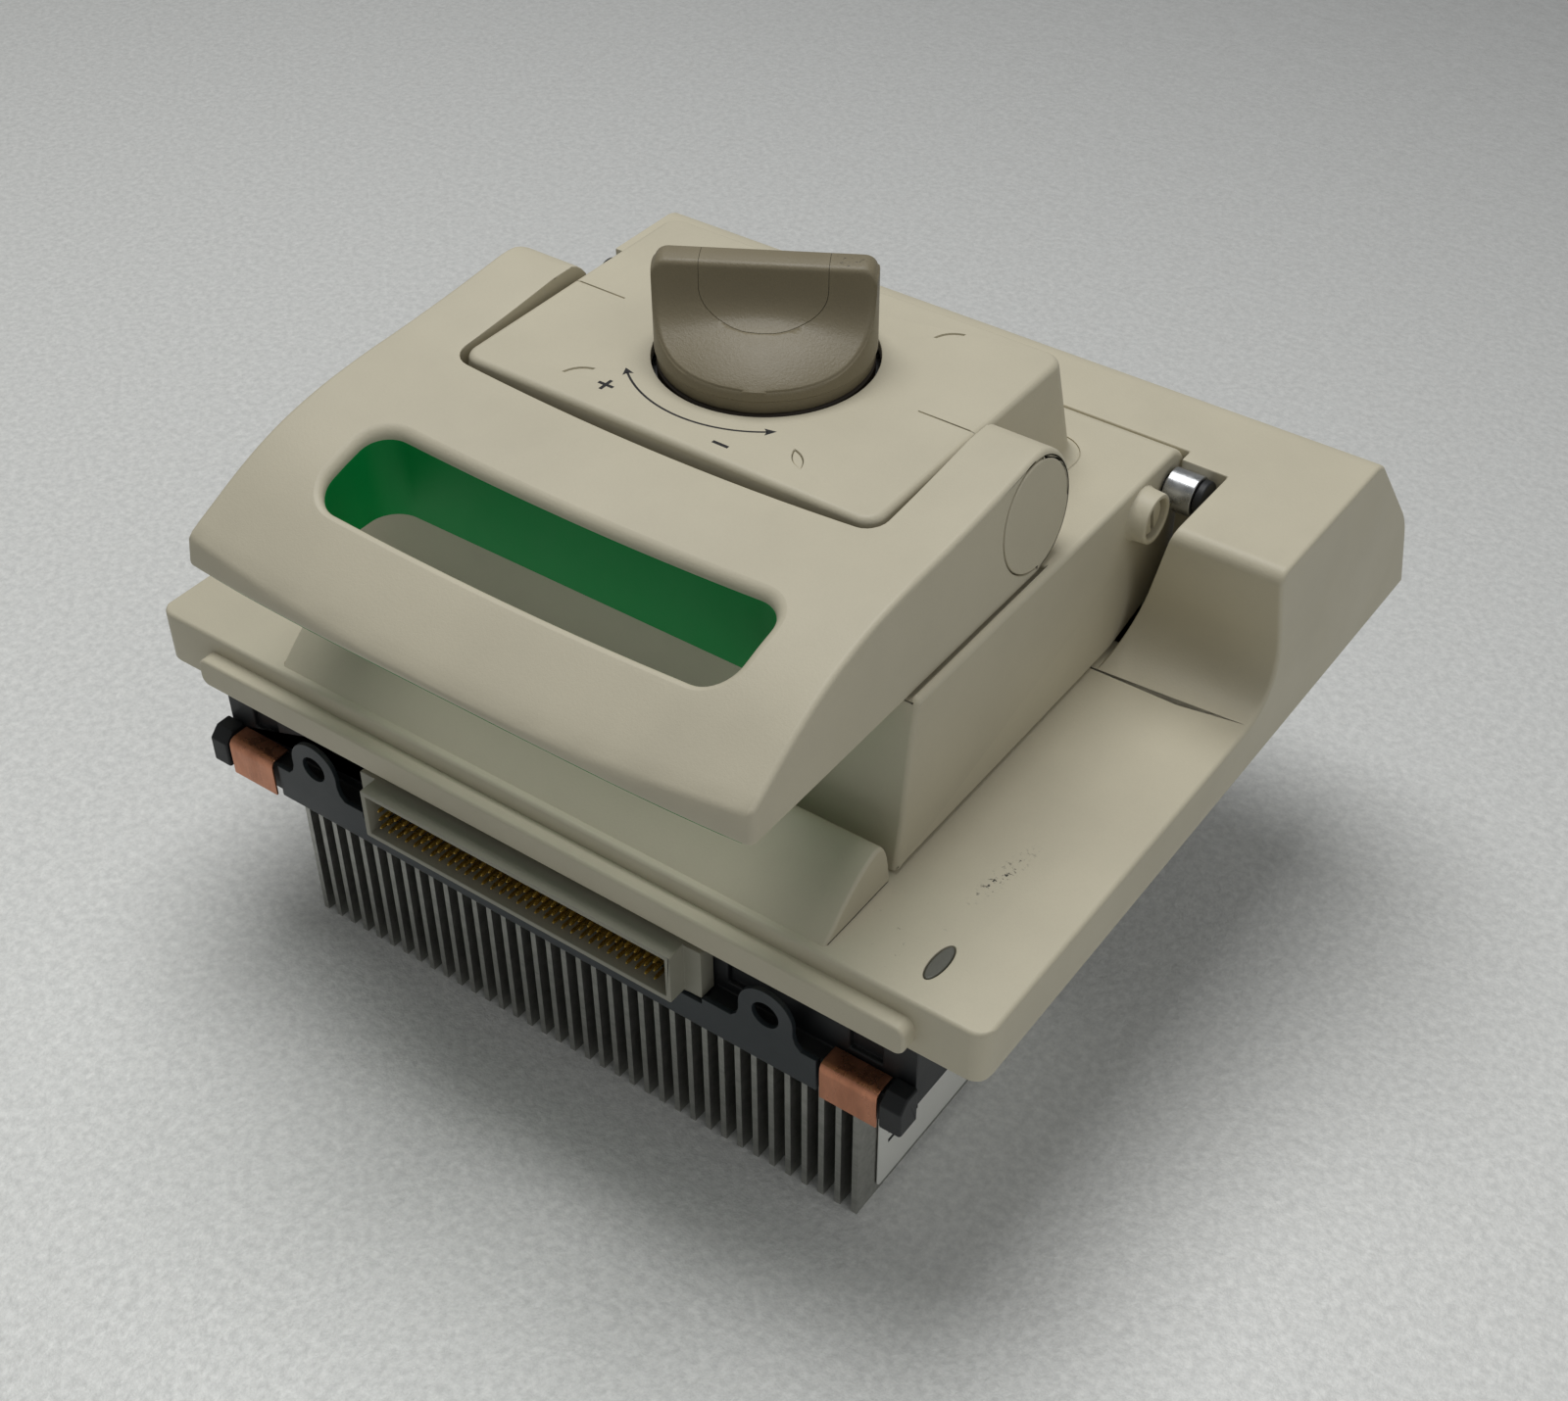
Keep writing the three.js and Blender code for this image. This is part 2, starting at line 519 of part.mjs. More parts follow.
for (const side of [-1, 1]) {
  const name = SIDE_NAME[side];
  const hook = outline([[37.6, 29.6], [43.4, 29.6], [44.4, 38], [37, 38], [36.4, 33]].map(([y, z]) => [y, z]));
  const arm = outline([[39, 6.5], [44.2, 6.5], [44.2, 31], [40.8, 31], [40.8, 10.5], [39, 10.5]]);
  const plates = [hook, arm].map((shape) => extrudeX(shape, ...span(side, 44, 48)));
  const bore = rodX(LATCH.y, LATCH.z, LATCH.shaft + GAP, ...span(side, 40, 52), 16);
  piece(`latch_hook_${name}`, joinAll(plates).subtract(bore), MATERIAL.steel);
  const keeper = outline([[33.6, GAP], [41, GAP], [41, 1.6], [37.8, 1.6], [37.8, 8], [35.8, 8], [35.8, 1.6], [33.6, 1.6]]);
  piece(`latch_keeper_${name}`, extrudeX(keeper, ...span(side, 40, 52)), MATERIAL.steel);
}

// Torsion spring wound round the latch shaft, with square wire.
class Helix extends THREE.Curve {
  constructor(radius, pitch, turns) {
    super();
    Object.assign(this, { radius, pitch, turns });
  }

  getPoint(t, target = new THREE.Vector3()) {
    const angle = 2 * Math.PI * this.turns * t;
    const x = this.pitch * this.turns * (t - 0.5);
    return target.set(x, this.radius * Math.cos(angle), this.radius * Math.sin(angle));
  }
}

function latchSpring() {
  const wire = outline([[-0.6, -0.6], [0.6, -0.6], [0.6, 0.6], [-0.6, 0.6]]);
  const coil = new Helix(3.9, 3, 8);
  const geometry = new THREE.ExtrudeGeometry(wire, { steps: 64, extrudePath: coil, bevelEnabled: false });
  return solid(geometry.translate(0, LATCH.y, LATCH.z));
}

piece('latch_spring', latchSpring(), MATERIAL.steel);

// ---- Knob -----------------------------------------------------------------------------------
// The grip bar stands between two scoops; both are drawn along X and turned to the resting angle.
function scoop(side) {
  const { radius, bottom, top, barHalf } = KNOB;
  const shape = new THREE.Shape();
  shape.moveTo(barHalf, top + 1);
  shape.lineTo(barHalf, top - 1.5);
  shape.quadraticCurveTo(barHalf + 0.4, top - 11.5, 13, bottom + 11.6);
  shape.quadraticCurveTo(19, bottom + 10, radius + 1, bottom + 6);
  shape.lineTo(radius + 1, top + 1);
  shape.closePath();
  const body = extrudeX(shape, -radius - 1, radius + 1);
  return side > 0 ? body : body.rotate([0, 0, 180]);
}

function inlayPrism(shrink) {
  const [half, low] = [13.8 - shrink, KNOB.bottom + 11.8 + shrink];
  const shape = new THREE.Shape();
  shape.moveTo(half, KNOB.top + 1);
  shape.lineTo(half, low + 8);
  shape.quadraticCurveTo(half, low, half - 8, low);
  shape.lineTo(8 - half, low);
  shape.quadraticCurveTo(-half, low, -half, low + 8);
  shape.lineTo(-half, KNOB.top + 1);
  shape.closePath();
  return extrudeY(shape, -30, 30);
}

function knobBlank() {
  const { radius, bottom, top } = KNOB;
  const profile = [[0, bottom], [radius - 1.2, bottom], [radius, bottom + 1.5], [radius - 0.9, top - 0.8], [radius - 1.8, top], [0, top]];
  const lathe = new THREE.LatheGeometry(profile.map(([r, z]) => new THREE.Vector2(r, z)), 48);
  return cutAll(solid(lathe.rotateX(Math.PI / 2)), bothSides(scoop));
}

function placeKnob(body) {
  return body.rotate([0, 0, KNOB.turn]).translate([KNOB.x, KNOB.y, 0]);
}

const blank = knobBlank();
const well = rodZ(0, 0, SCREW.radius + GAP, 50, KNOB.bottom + 6);
piece('force_knob', placeKnob(blank.subtract(inlayPrism(0)).subtract(well)), MATERIAL.knob);
piece('knob_inlay', placeKnob(blank.intersect(inlayPrism(0.15))), MATERIAL.knob);
piece('knob_ring', placeKnob(rodZ(0, 0, KNOB.radius - 1.2, 62.6, KNOB.bottom - GAP, 48)
  .subtract(rodZ(0, 0, SCREW.radius + GAP, 50, 70))), MATERIAL.slate);
piece('lead_screw', rodZ(KNOB.x, KNOB.y, SCREW.radius, SCREW.bottom, KNOB.bottom + 5.6), MATERIAL.steel);

// ---- Heated platen --------------------------------------------------------------------------
const { halfX: px, halfY: py, bottom: pz, thick } = PLATEN;
const platenTop = pz + thick;
piece('heated_platen', box(-px, px, KNOB.y - py, KNOB.y + py, pz, platenTop), MATERIAL.aluminium);
piece('platen_heater', box(4 - px, px - 4, KNOB.y - py + 4, KNOB.y + py - 4, platenTop + GAP, platenTop + 1.3), MATERIAL.heater);
piece('platen_insulation', box(1 - px, px - 1, KNOB.y - py + 1, KNOB.y + py - 1, platenTop + 1.6, platenTop + 4.6), MATERIAL.ceramic);

function platenNut() {
  const flange = rodZ(KNOB.x, KNOB.y, 16, platenTop + 4.9, platenTop + 7.4, 32);
  const sleeve = rodZ(KNOB.x, KNOB.y, 8.6, platenTop + 6, 49);
  return flange.add(sleeve).subtract(rodZ(KNOB.x, KNOB.y, SCREW.radius + 0.4, platenTop + 5.4, 60));
}

piece('platen_nut', platenNut(), MATERIAL.brass);

// ---- Handle ---------------------------------------------------------------------------------
// Height of the handle's top along its middle; the surface is dished, so its sides stand higher.
const CROWN = new THREE.SplineCurve([
  [-20, 45], [-10, 50.8], [-2, 55], [6, 58.4], [14, 60.8], [24, 62.7], [36, 63.9], [50, 64.6], [66, 65.8], [82, 67.4],
].map(([y, z]) => new THREE.Vector2(y, z))).getPoints(72);

function crownHeight(y) {
  const i = CROWN.findIndex((point) => point.x >= y);
  const [before, after] = [CROWN[Math.max(i - 1, 0)], CROWN[i]];
  return before.y + ((after.y - before.y) * (y - before.x)) / Math.max(after.x - before.x, 1e-6);
}

// The (y, z) section of the handle at one distance from the middle.
function handleRing(x, inset) {
  const lift = HANDLE.dish * (x / 72) ** 2;
  const start = HANDLE.front + (x / 90) ** 4 * 4 + inset;
  const radius = PIVOT.endRadius - inset;
  const top = range(13).map((i) => {
    const y = start + 1.5 + ((PIVOT.y - start - 1.5) * i) / 12;
    return [y, Math.min(crownHeight(y) + lift, PIVOT.z + PIVOT.endRadius) - inset];
  });
  const limit = top[top.length - 1][1];
  const end = range(10).map((i) => {
    const angle = Math.PI / 2 - (Math.PI * (i + 1)) / 10;
    return [PIVOT.y + radius * Math.cos(angle), Math.min(PIVOT.z + radius * Math.sin(angle), limit)];
  });
  const bottom = inset > 0 ? HANDLE.bottom - 3 : HANDLE.bottom;
  return [[PIVOT.y, bottom], [start, bottom], [start, HANDLE.bottom + 2], ...top, ...end.slice(0, -1)].reverse();
}

function handleStations(half, count) {
  return range(count).map((i) => half * ((2 * i) / (count - 1) - 1));
}

function windowPrism(grow) {
  const { half, front, rear, radius } = WINDOW;
  return extrudeZ(roundedRect(-half - grow, half + grow, front - grow, rear + grow, radius + grow), 20, 100);
}

function handleShell() {
  const body = loftX(handleStations(HANDLE.half, 9), (x) => handleRing(x, 0));
  const { armInner, armInnerTop, armFront } = HANDLE;
  const flank = [[armInner, 20], [armInner, LID.top], [armInnerTop, PLATE.top + 1], [armInnerTop, 100]];
  const mirrored = flank.map(([x, z]) => [-x, z]).reverse();
  const behind = box(-armInner, armInner, armFront, 130, 20, 100);
  const swing = rodX(PIVOT.y, PIVOT.z, HANDLE.swing, -armInner, armInner, 48);
  const pocket = extrudeY(outline([...flank, ...mirrored]), 40, 130).intersect(behind.add(swing));
  const hollow = loftX(handleStations(HANDLE.half - SKIN, 5), (x) => handleRing(x, SKIN));
  const frontRoom = hollow.intersect(box(-90, 90, -40, HANDLE.armFront - SKIN, 0, 100));
  const arms = bothSides((side) => hollow.intersect(
    box(...span(side, HANDLE.armInner + SKIN, 90), -40, PIVOT.y - 18, 0, 100),
  ));
  const cuts = bothSides((side) => rodX(PIVOT.y, PIVOT.z, PIVOT.pinRadius + GAP, ...span(side, 50, 70.4), 16));
  const caps = bothSides((side) => rodX(PIVOT.y, PIVOT.z, PIVOT.capRadius + GAP, ...span(side, 72, 80), 40));
  return cutAll(body, [pocket, frontRoom, ...arms, windowPrism(0), ...cuts, ...caps]);
}

function handleLiner() {
  const room = loftX(handleStations(HANDLE.half - SKIN - 0.4, 5), (x) => handleRing(x, SKIN + 0.4));
  const within = room.intersect(box(-70, 70, -40, HANDLE.armFront - SKIN - 0.4, HANDLE.bottom, 100));
  const ring = windowPrism(2.2);
  const floor = box(-90, 90, -40, 100, 0, HANDLE.bottom + 1.2);
  return within.intersect(ring.add(floor)).subtract(windowPrism(0));
}

piece('handle_shell', handleShell(), MATERIAL.casing);
piece('handle_liner', handleLiner(), MATERIAL.green);
for (const side of [-1, 1]) {
  const cap = rodX(PIVOT.y, PIVOT.z, PIVOT.capRadius, ...span(side, 72.3, HANDLE.half + 0.1), 40);
  piece(`pivot_cap_${SIDE_NAME[side]}`, cap, MATERIAL.casing);
}

export default moduleGroup;
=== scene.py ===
"""Looks of the interchangeable thermal cycler module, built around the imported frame.

Shapes are drawn in deck millimetres: X across, Y back from the deck's front edge, Z up from the deck's
top. placed() moves them into the frame, in metres.
"""
import json
import math

import bmesh
import bpy
from mathutils import Matrix, Vector


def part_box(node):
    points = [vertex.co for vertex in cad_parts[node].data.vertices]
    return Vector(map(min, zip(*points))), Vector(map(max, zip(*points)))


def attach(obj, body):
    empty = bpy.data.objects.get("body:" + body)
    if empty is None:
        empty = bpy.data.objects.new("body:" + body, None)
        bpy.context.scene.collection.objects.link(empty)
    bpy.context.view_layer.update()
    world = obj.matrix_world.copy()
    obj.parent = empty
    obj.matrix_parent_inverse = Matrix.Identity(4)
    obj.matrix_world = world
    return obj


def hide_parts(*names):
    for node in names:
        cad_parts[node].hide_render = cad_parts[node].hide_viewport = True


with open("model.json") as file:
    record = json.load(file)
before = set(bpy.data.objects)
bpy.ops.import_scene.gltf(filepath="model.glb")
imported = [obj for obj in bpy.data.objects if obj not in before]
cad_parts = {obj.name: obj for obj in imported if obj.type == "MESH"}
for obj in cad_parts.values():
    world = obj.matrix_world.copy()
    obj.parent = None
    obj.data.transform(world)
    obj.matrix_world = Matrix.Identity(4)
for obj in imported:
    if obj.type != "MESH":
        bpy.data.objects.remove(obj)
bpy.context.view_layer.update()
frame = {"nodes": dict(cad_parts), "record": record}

MM = 0.001
TAU = math.tau
SIDES = ((-1, "left"), (1, "right"))

# ---- Driving dimensions, in deck millimetres and radians ---------------------------------------
DECK_HALF = 114.6
DECK_REAR = 198.4
DECK_BOTTOM = -14.2
HOUSING_TOP = 39.8
HOUSING_LEFT = 87.2
RAIL_DEPTH = 4.0
SKIN = 3.0
RECESS_HALF = 76.7
RECESS_REAR = 144.4
NOTCH_REAR = 140.5
NOTCH_TOP_HALF = 88.3
LID_HALF = 76.0
LID_TOP = 43.0
PLATE_TOP = 67.2
PLATE_HALF = 54.0
PLATE_FLARE = 3.6
HANDLE_HALF = 72.4
HANDLE_BOTTOM = 42.4
HANDLE_DRAFT = 0.085
DRAFT_START = 56
DRAFT_LEVEL = 56.5
PIVOT_Y, PIVOT_Z = 81.7, 57.1
ARM_END_RADIUS = 14.3
KNOB_X, KNOB_Y = 0.0, 87.3
KNOB_RADIUS = 24.3
KNOB_BOTTOM = 66.6
KNOB_TOP = 90.8
KNOB_TURN = math.radians(30)
PLUG_OFFSET = 28.9
HINGE_Y, HINGE_Z = 136.0, 34.9
HINGE_SWEEP = 8.3
BOSS_Y, BOSS_Z = 123.0, 35.0
LENS_X, LENS_Y = 96.3, 12
EAR_X, EAR_Z = 64.6, -22.4
SHROUD_X, SHROUD_Z = -1.0, -22.2
SHROUD_HALF = 44
SHROUD_RISE = 6.95
CONTACT_PITCH = 2.54
MERGE = 0.01
FLAT_ANGLE = math.radians(0.4)

deck_low, deck_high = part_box("deck_casing")
FRAME_Y = deck_low[1] + RAIL_DEPTH * MM
FRAME_Z = deck_high[2] - HOUSING_TOP * MM


def placed(point):
    return Vector((point[0] * MM, FRAME_Y + point[1] * MM, FRAME_Z + point[2] * MM))


def span(side, near, far):
    """The x range from near to far on one side of the middle, in rising order."""
    return sorted((side * near, side * far))


# ---- Outlines -----------------------------------------------------------------------------------
def rounded(corners, steps=6):
    """A closed outline through (u, v, radius) corners, each turned with an arc."""
    outline = []
    for i, (u, v, radius) in enumerate(corners):
        corner = Vector((u, v))
        if radius <= 0:
            outline.append((u, v))
            continue
        before = (Vector(corners[i - 1][:2]) - corner).normalized()
        after = (Vector(corners[(i + 1) % len(corners)][:2]) - corner).normalized()
        half = before.angle(after) / 2
        centre = corner + (before + after).normalized() * radius / math.sin(half)
        start = corner + before * radius / math.tan(half) - centre
        end = corner + after * radius / math.tan(half) - centre
        first = math.atan2(start.y, start.x)
        sweep = (math.atan2(end.y, end.x) - first + math.pi) % TAU - math.pi
        for k in range(steps + 1):
            angle = first + sweep * k / steps
            outline.append((centre.x + radius * math.cos(angle), centre.y + radius * math.sin(angle)))
    return outline


def rectangle(u0, u1, v0, v1, radius, steps=8):
    return rounded([(u0, v0, radius), (u1, v0, radius), (u1, v1, radius), (u0, v1, radius)], steps)


def bezier(p0, p1, p2, p3, steps=10):
    points = []
    for k in range(steps + 1):
        t = k / steps
        s = 1 - t
        weights = (s * s * s, 3 * s * s * t, 3 * s * t * t, t * t * t)
        points.append(tuple(sum(w * p[i] for w, p in zip(weights, (p0, p1, p2, p3))) for i in (0, 1)))
    return points


def circle(u, v, radius, count=48):
    angles = [TAU * k / count for k in range(count)]
    return [(u + radius * math.cos(a), v + radius * math.sin(a)) for a in angles]


def oval(u, v, half_length, half_width, angle, count=32):
    c, s = math.cos(angle), math.sin(angle)
    angles = [TAU * k / count for k in range(count)]
    ring = [(half_length * math.cos(a), half_width * math.sin(a)) for a in angles]
    return [(u + a * c - b * s, v + a * s + b * c) for a, b in ring]


def leaf(u, v, half_length, half_width, angle, steps=10):
    """A pointed oval made of two arcs."""
    side = [(half_length * (2 * k / steps - 1), 0) for k in range(steps + 1)]
    upper = [(a, half_width * (1 - (a / half_length) ** 2)) for a, _ in side]
    ring = upper[:-1] + [(-a, -b) for a, b in upper[:-1]]
    c, s = math.cos(angle), math.sin(angle)
    return [(u + a * c - b * s, v + a * s + b * c) for a, b in ring]


def inset(outline, distance):
    """The outline moved inwards, for either winding, point by point."""
    if not distance:
        return list(outline)
    count = len(outline)
    area = sum(outline[i - 1][0] * outline[i][1] - outline[i][0] * outline[i - 1][1] for i in range(count))
    side = distance if area > 0 else -distance
    result = []
    for i, point in enumerate(outline):
        here = Vector(point)
        before = here - Vector(outline[i - 1])
        after = Vector(outline[(i + 1) % count]) - here
        first = Vector((-before.y, before.x)).normalized()
        second = Vector((-after.y, after.x)).normalized()
        normal = (first + second).normalized()
        result.append(tuple(here + normal * side / max(normal.dot(first), 0.5)))
    return result


# ---- Meshes --------------------------------------------------------------------------------------
def from_bmesh(name, mesh_data):
    mesh = bpy.data.meshes.new(name)
    bmesh.ops.recalc_face_normals(mesh_data, faces=mesh_data.faces)
    mesh_data.to_mesh(mesh)
    mesh_data.free()
    piece = bpy.data.objects.new(name, mesh)
    bpy.context.collection.objects.link(piece)
    return piece


def skin(name, rings, closed=False):
    """A closed skin through rings of equal point counts, capped at both ends unless it closes on itself."""
    bm = bmesh.new()
    rows = [[bm.verts.new(point) for point in ring] for ring in rings]
    count = len(rings[0])
    pairs = list(zip(rows, rows[1:])) + ([(rows[-1], rows[0])] if closed else [])
    for near, far in pairs:
        for j in range(count):
            k = (j + 1) % count
            bm.faces.new((near[j], near[k], far[k], far[j]))
    if not closed:
        bm.faces.new(rows[0][::-1])
        bm.faces.new(rows[-1])
    return from_bmesh(name, bm)


def rounding(edge, steps=4):
    """(distance from the end, inset) pairs of a quarter round, from the end inwards."""
    if edge <= 0:
        return [(0, 0)]
    angles = [math.pi / 2 * (1 - k / steps) for k in range(steps + 1)]
    return [(edge * (1 - math.sin(a)), edge * (1 - math.cos(a))) for a in angles]


def stack(outline, low, high, low_edge, high_edge, to_point):
    """Rings of an outline along one axis, with its two ends rounded over."""
    rings = [[to_point(p, low + s) for p in inset(outline, d)] for s, d in rounding(low_edge)]
    rings += [[to_point(p, high - s) for p in inset(outline, d)] for s, d in reversed(rounding(high_edge))]
    return rings


def prism_x(name, outline, x0, x1, edge=0.0, edge2=None):
    rings = stack(outline, x0, x1, edge, edge if edge2 is None else edge2, lambda p, x: (x, p[0], p[1]))
    return skin(name, rings)


def prism_y(name, outline, y0, y1, edge=0.0, edge2=None):
    rings = stack(outline, y0, y1, edge, edge if edge2 is None else edge2, lambda p, y: (p[0], y, p[1]))
    return skin(name, rings)


def prism_z(name, outline, z0, z1, edge=0.0, edge2=None):
    rings = stack(outline, z0, z1, edge, edge if edge2 is None else edge2, lambda p, z: (p[0], p[1], z))
    return skin(name, rings)


def block(x0, x1, y0, y1, z0, z1, name="block", radius=0.0):
    """A box whose edges along Y can be rounded."""
    return prism_y(name, rectangle(x0, x1, z0, z1, radius, 4), y0, y1)


def turned(name, profile, count=64):
    """A body of revolution about Z from (radius, z) points whose first and last lie on the axis."""
    bm = bmesh.new()
    poles = [bm.verts.new((0, 0, profile[0][1])), bm.verts.new((0, 0, profile[-1][1]))]
    rings = []
    for radius, z in profile[1:-1]:
        angles = [TAU * k / count for k in range(count)]
        rings.append([bm.verts.new((radius * math.cos(a), radius * math.sin(a), z)) for a in angles])
    for k in range(count):
        m = (k + 1) % count
        bm.faces.new((poles[0], rings[0][m], rings[0][k]))
        bm.faces.new((poles[1], rings[-1][k], rings[-1][m]))
        for near, far in zip(rings, rings[1:]):
            bm.faces.new((near[k], near[m], far[m], far[k]))
    return from_bmesh(name, bm)


def moved(piece, matrix):
    piece.data.transform(matrix)
    if matrix.determinant() < 0:
        piece.data.flip_normals()
    return piece


def applied(piece):
    """The piece with its modifiers made real."""
    graph = bpy.context.evaluated_depsgraph_get()
    mesh = bpy.data.meshes.new_from_object(piece.evaluated_get(graph))
    piece.modifiers.clear()
    piece.data = mesh
    return piece


def boolean(piece, operation, tools):
    """Applies each tool to the piece and uses the tool up."""
    for tool in tools:
        modifier = piece.modifiers.new("boolean", "BOOLEAN")
        modifier.operation = operation
        modifier.solver = "MANIFOLD"
        modifier.object = tool
        applied(piece)
        if not piece.data.polygons:
            raise ValueError(f"{piece.name} {operation} {tool.name} left nothing")
        bpy.data.objects.remove(tool)
    return piece


def cut(piece, *tools):
    return boolean(piece, "DIFFERENCE", tools)


def join(piece, *tools):
    return boolean(piece, "UNION", tools)


def keep(piece, *tools):
    return boolean(piece, "INTERSECT", tools)


def copied(piece):
    twin = bpy.data.objects.new(piece.name, piece.data.copy())
    bpy.context.collection.objects.link(twin)
    return twin


def bevelled(piece, width, angle=32):
    """Rounds the edges that turn by more than the angle."""
    modifier = piece.modifiers.new("bevel", "BEVEL")
    modifier.width = width
    modifier.segments = 2
    modifier.limit_method = "ANGLE"
    modifier.angle_limit = math.radians(angle)
    modifier.use_clamp_overlap = False
    return applied(piece)


def tidied(piece):
    """Merges points that nearly meet and joins faces that lie in one plane."""
    bm = bmesh.new()
    bm.from_mesh(piece.data)
    bmesh.ops.remove_doubles(bm, verts=bm.verts, dist=MERGE)
    bmesh.ops.dissolve_degenerate(bm, edges=bm.edges, dist=MERGE)
    bmesh.ops.dissolve_limit(bm, angle_limit=FLAT_ANGLE, verts=bm.verts, edges=bm.edges)
    bm.to_mesh(piece.data)
    bm.free()
    return piece


def smoothed(piece, angle):
    """Smooth shading, kept crisp where faces meet at more than the angle."""
    bm = bmesh.new()
    bm.from_mesh(piece.data)
    for face in bm.faces:
        face.smooth = True
    for edge in bm.edges:
        sharp = len(edge.link_faces) == 2 and edge.calc_face_angle(0) > math.radians(angle)
        edge.smooth = not sharp
    bm.to_mesh(piece.data)
    bm.free()
    modifier = piece.modifiers.new("weighted", "WEIGHTED_NORMAL")
    modifier.keep_sharp = True
    return applied(piece)


def finished(piece, name, body, material, replaces=(), angle=38):
    """Names the piece, moves it into the frame and gives it its body, slot and material."""
    smoothed(piece, angle)
    for vertex in piece.data.vertices:
        vertex.co = placed(vertex.co)
    piece.name = name
    piece.data.name = name
    piece.data.materials.clear()
    piece.data.materials.append(material)
    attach(piece, body)
    if replaces:
        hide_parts(*replaces)
    return piece


# ---- Materials -----------------------------------------------------------------------------------
class Paint:
    """A node material whose textures follow the piece, in metres."""

    def __init__(self, name):
        self.material = bpy.data.materials.new(name)
        self.material.use_nodes = True
        self.tree = self.material.node_tree
        self.shader = self.tree.nodes["Principled BSDF"]
        self.place = self.node("ShaderNodeTexCoord").outputs["Object"]

    @classmethod
    def over(cls, material):
        """Carries on with the nodes of a finished material."""
        paint = cls.__new__(cls)
        paint.material = material
        paint.tree = material.node_tree
        paint.shader = paint.tree.nodes["Principled BSDF"]
        paint.place = paint.node("ShaderNodeTexCoord").outputs["Object"]
        return paint

    def node(self, kind, values=None, **settings):
        node = self.tree.nodes.new(kind)
        for key, value in settings.items():
            setattr(node, key, value)
        for key, value in (values or {}).items():
            if isinstance(value, bpy.types.NodeSocket):
                self.tree.links.new(value, node.inputs[key])
            else:
                node.inputs[key].default_value = value
        return node

    def noise(self, scale, detail=3.0, roughness=0.5, stretch=None):
        place = self.place
        if stretch:
            place = self.node("ShaderNodeMapping", {"Vector": place, "Scale": stretch}).outputs[0]
        values = {"Vector": place, "Scale": scale, "Detail": detail, "Roughness": roughness}
        return self.node("ShaderNodeTexNoise", values).outputs["Fac"]

    def ramp(self, fac, low, high, from_value=0.0, to_value=1.0):
        values = {"Value": fac, "From Min": low, "From Max": high, "To Min": from_value, "To Max": to_value}
        return self.node("ShaderNodeMapRange", values).outputs[0]

    def mix(self, fac, first, second, blend="MIX"):
        node = self.node("ShaderNodeMix", data_type="RGBA", blend_type=blend)
        for index, value in ((0, fac), (6, first), (7, second)):
            if isinstance(value, bpy.types.NodeSocket):
                self.tree.links.new(value, node.inputs[index])
            else:
                node.inputs[index].default_value = (*value, 1) if index else value
        return node.outputs[2]

    def math(self, operation, first, second):
        return self.node("ShaderNodeMath", {0: first, 1: second}, operation=operation).outputs[0]

    def edge(self):
        """0 on flat stretches and 1 on outer edges, for wear."""
        return self.ramp(self.node("ShaderNodeNewGeometry").outputs["Pointiness"], 0.51, 0.58)

    def bump(self, height, strength, distance):
        values = {"Height": height, "Strength": strength, "Distance": distance}
        return self.node("ShaderNodeBump", values).outputs[0]

    def wire(self, socket, value):
        self.tree.links.new(value, self.shader.inputs[socket])

    def set(self, **values):
        for socket, value in values.items():
            self.shader.inputs[socket.replace("_", " ")].default_value = value


def linear(red, green, blue):
    """Linear colour of 8-bit display values."""
    return tuple((v / 255) ** 2.2 for v in (red, green, blue))


def moulded(name, colour, grain=0.35, roughness=0.5, mottle=0.05, dirt=0.12, specular=0.45):
    """Textured moulding: fine spark-eroded grain, faint mottling, handling dirt and rubbed edges."""
    paint = Paint(name)
    base = linear(*colour)
    dark = tuple(v * (1 - mottle) for v in base)
    light = tuple(min(v * (1 + mottle), 1) for v in base)
    cloud = paint.ramp(paint.noise(28, 4, 0.55), 0.3, 0.7)
    shade = paint.mix(cloud, dark, light)
    speckle = paint.ramp(paint.noise(2600, 2, 0.6), 0.3, 0.72)
    speckled = paint.mix(paint.math("MULTIPLY", speckle, 0.07), shade, tuple(v * 0.55 for v in base))
    smear = paint.ramp(paint.noise(60, 8, 0.72, (1, 0.45, 1)), 0.56, 0.8)
    dirty = paint.mix(paint.math("MULTIPLY", smear, dirt), speckled, tuple(v * 0.6 for v in base))
    worn = paint.mix(paint.math("MULTIPLY", paint.edge(), 0.25), dirty, tuple(min(v * 1.18, 1) for v in base))
    paint.wire("Base Color", worn)
    gloss = paint.ramp(paint.noise(45, 5, 0.6), 0.3, 0.75, roughness - 0.05, roughness + 0.09)
    paint.wire("Roughness", gloss)
    coarse = paint.noise(1500, 3, 0.55)
    fine = paint.noise(3800, 2, 0.5)
    height = paint.math("ADD", coarse, paint.math("MULTIPLY", fine, 0.5))
    paint.wire("Normal", paint.bump(height, grain, 0.00012))
    paint.set(Specular_IOR_Level=specular)
    return paint.material


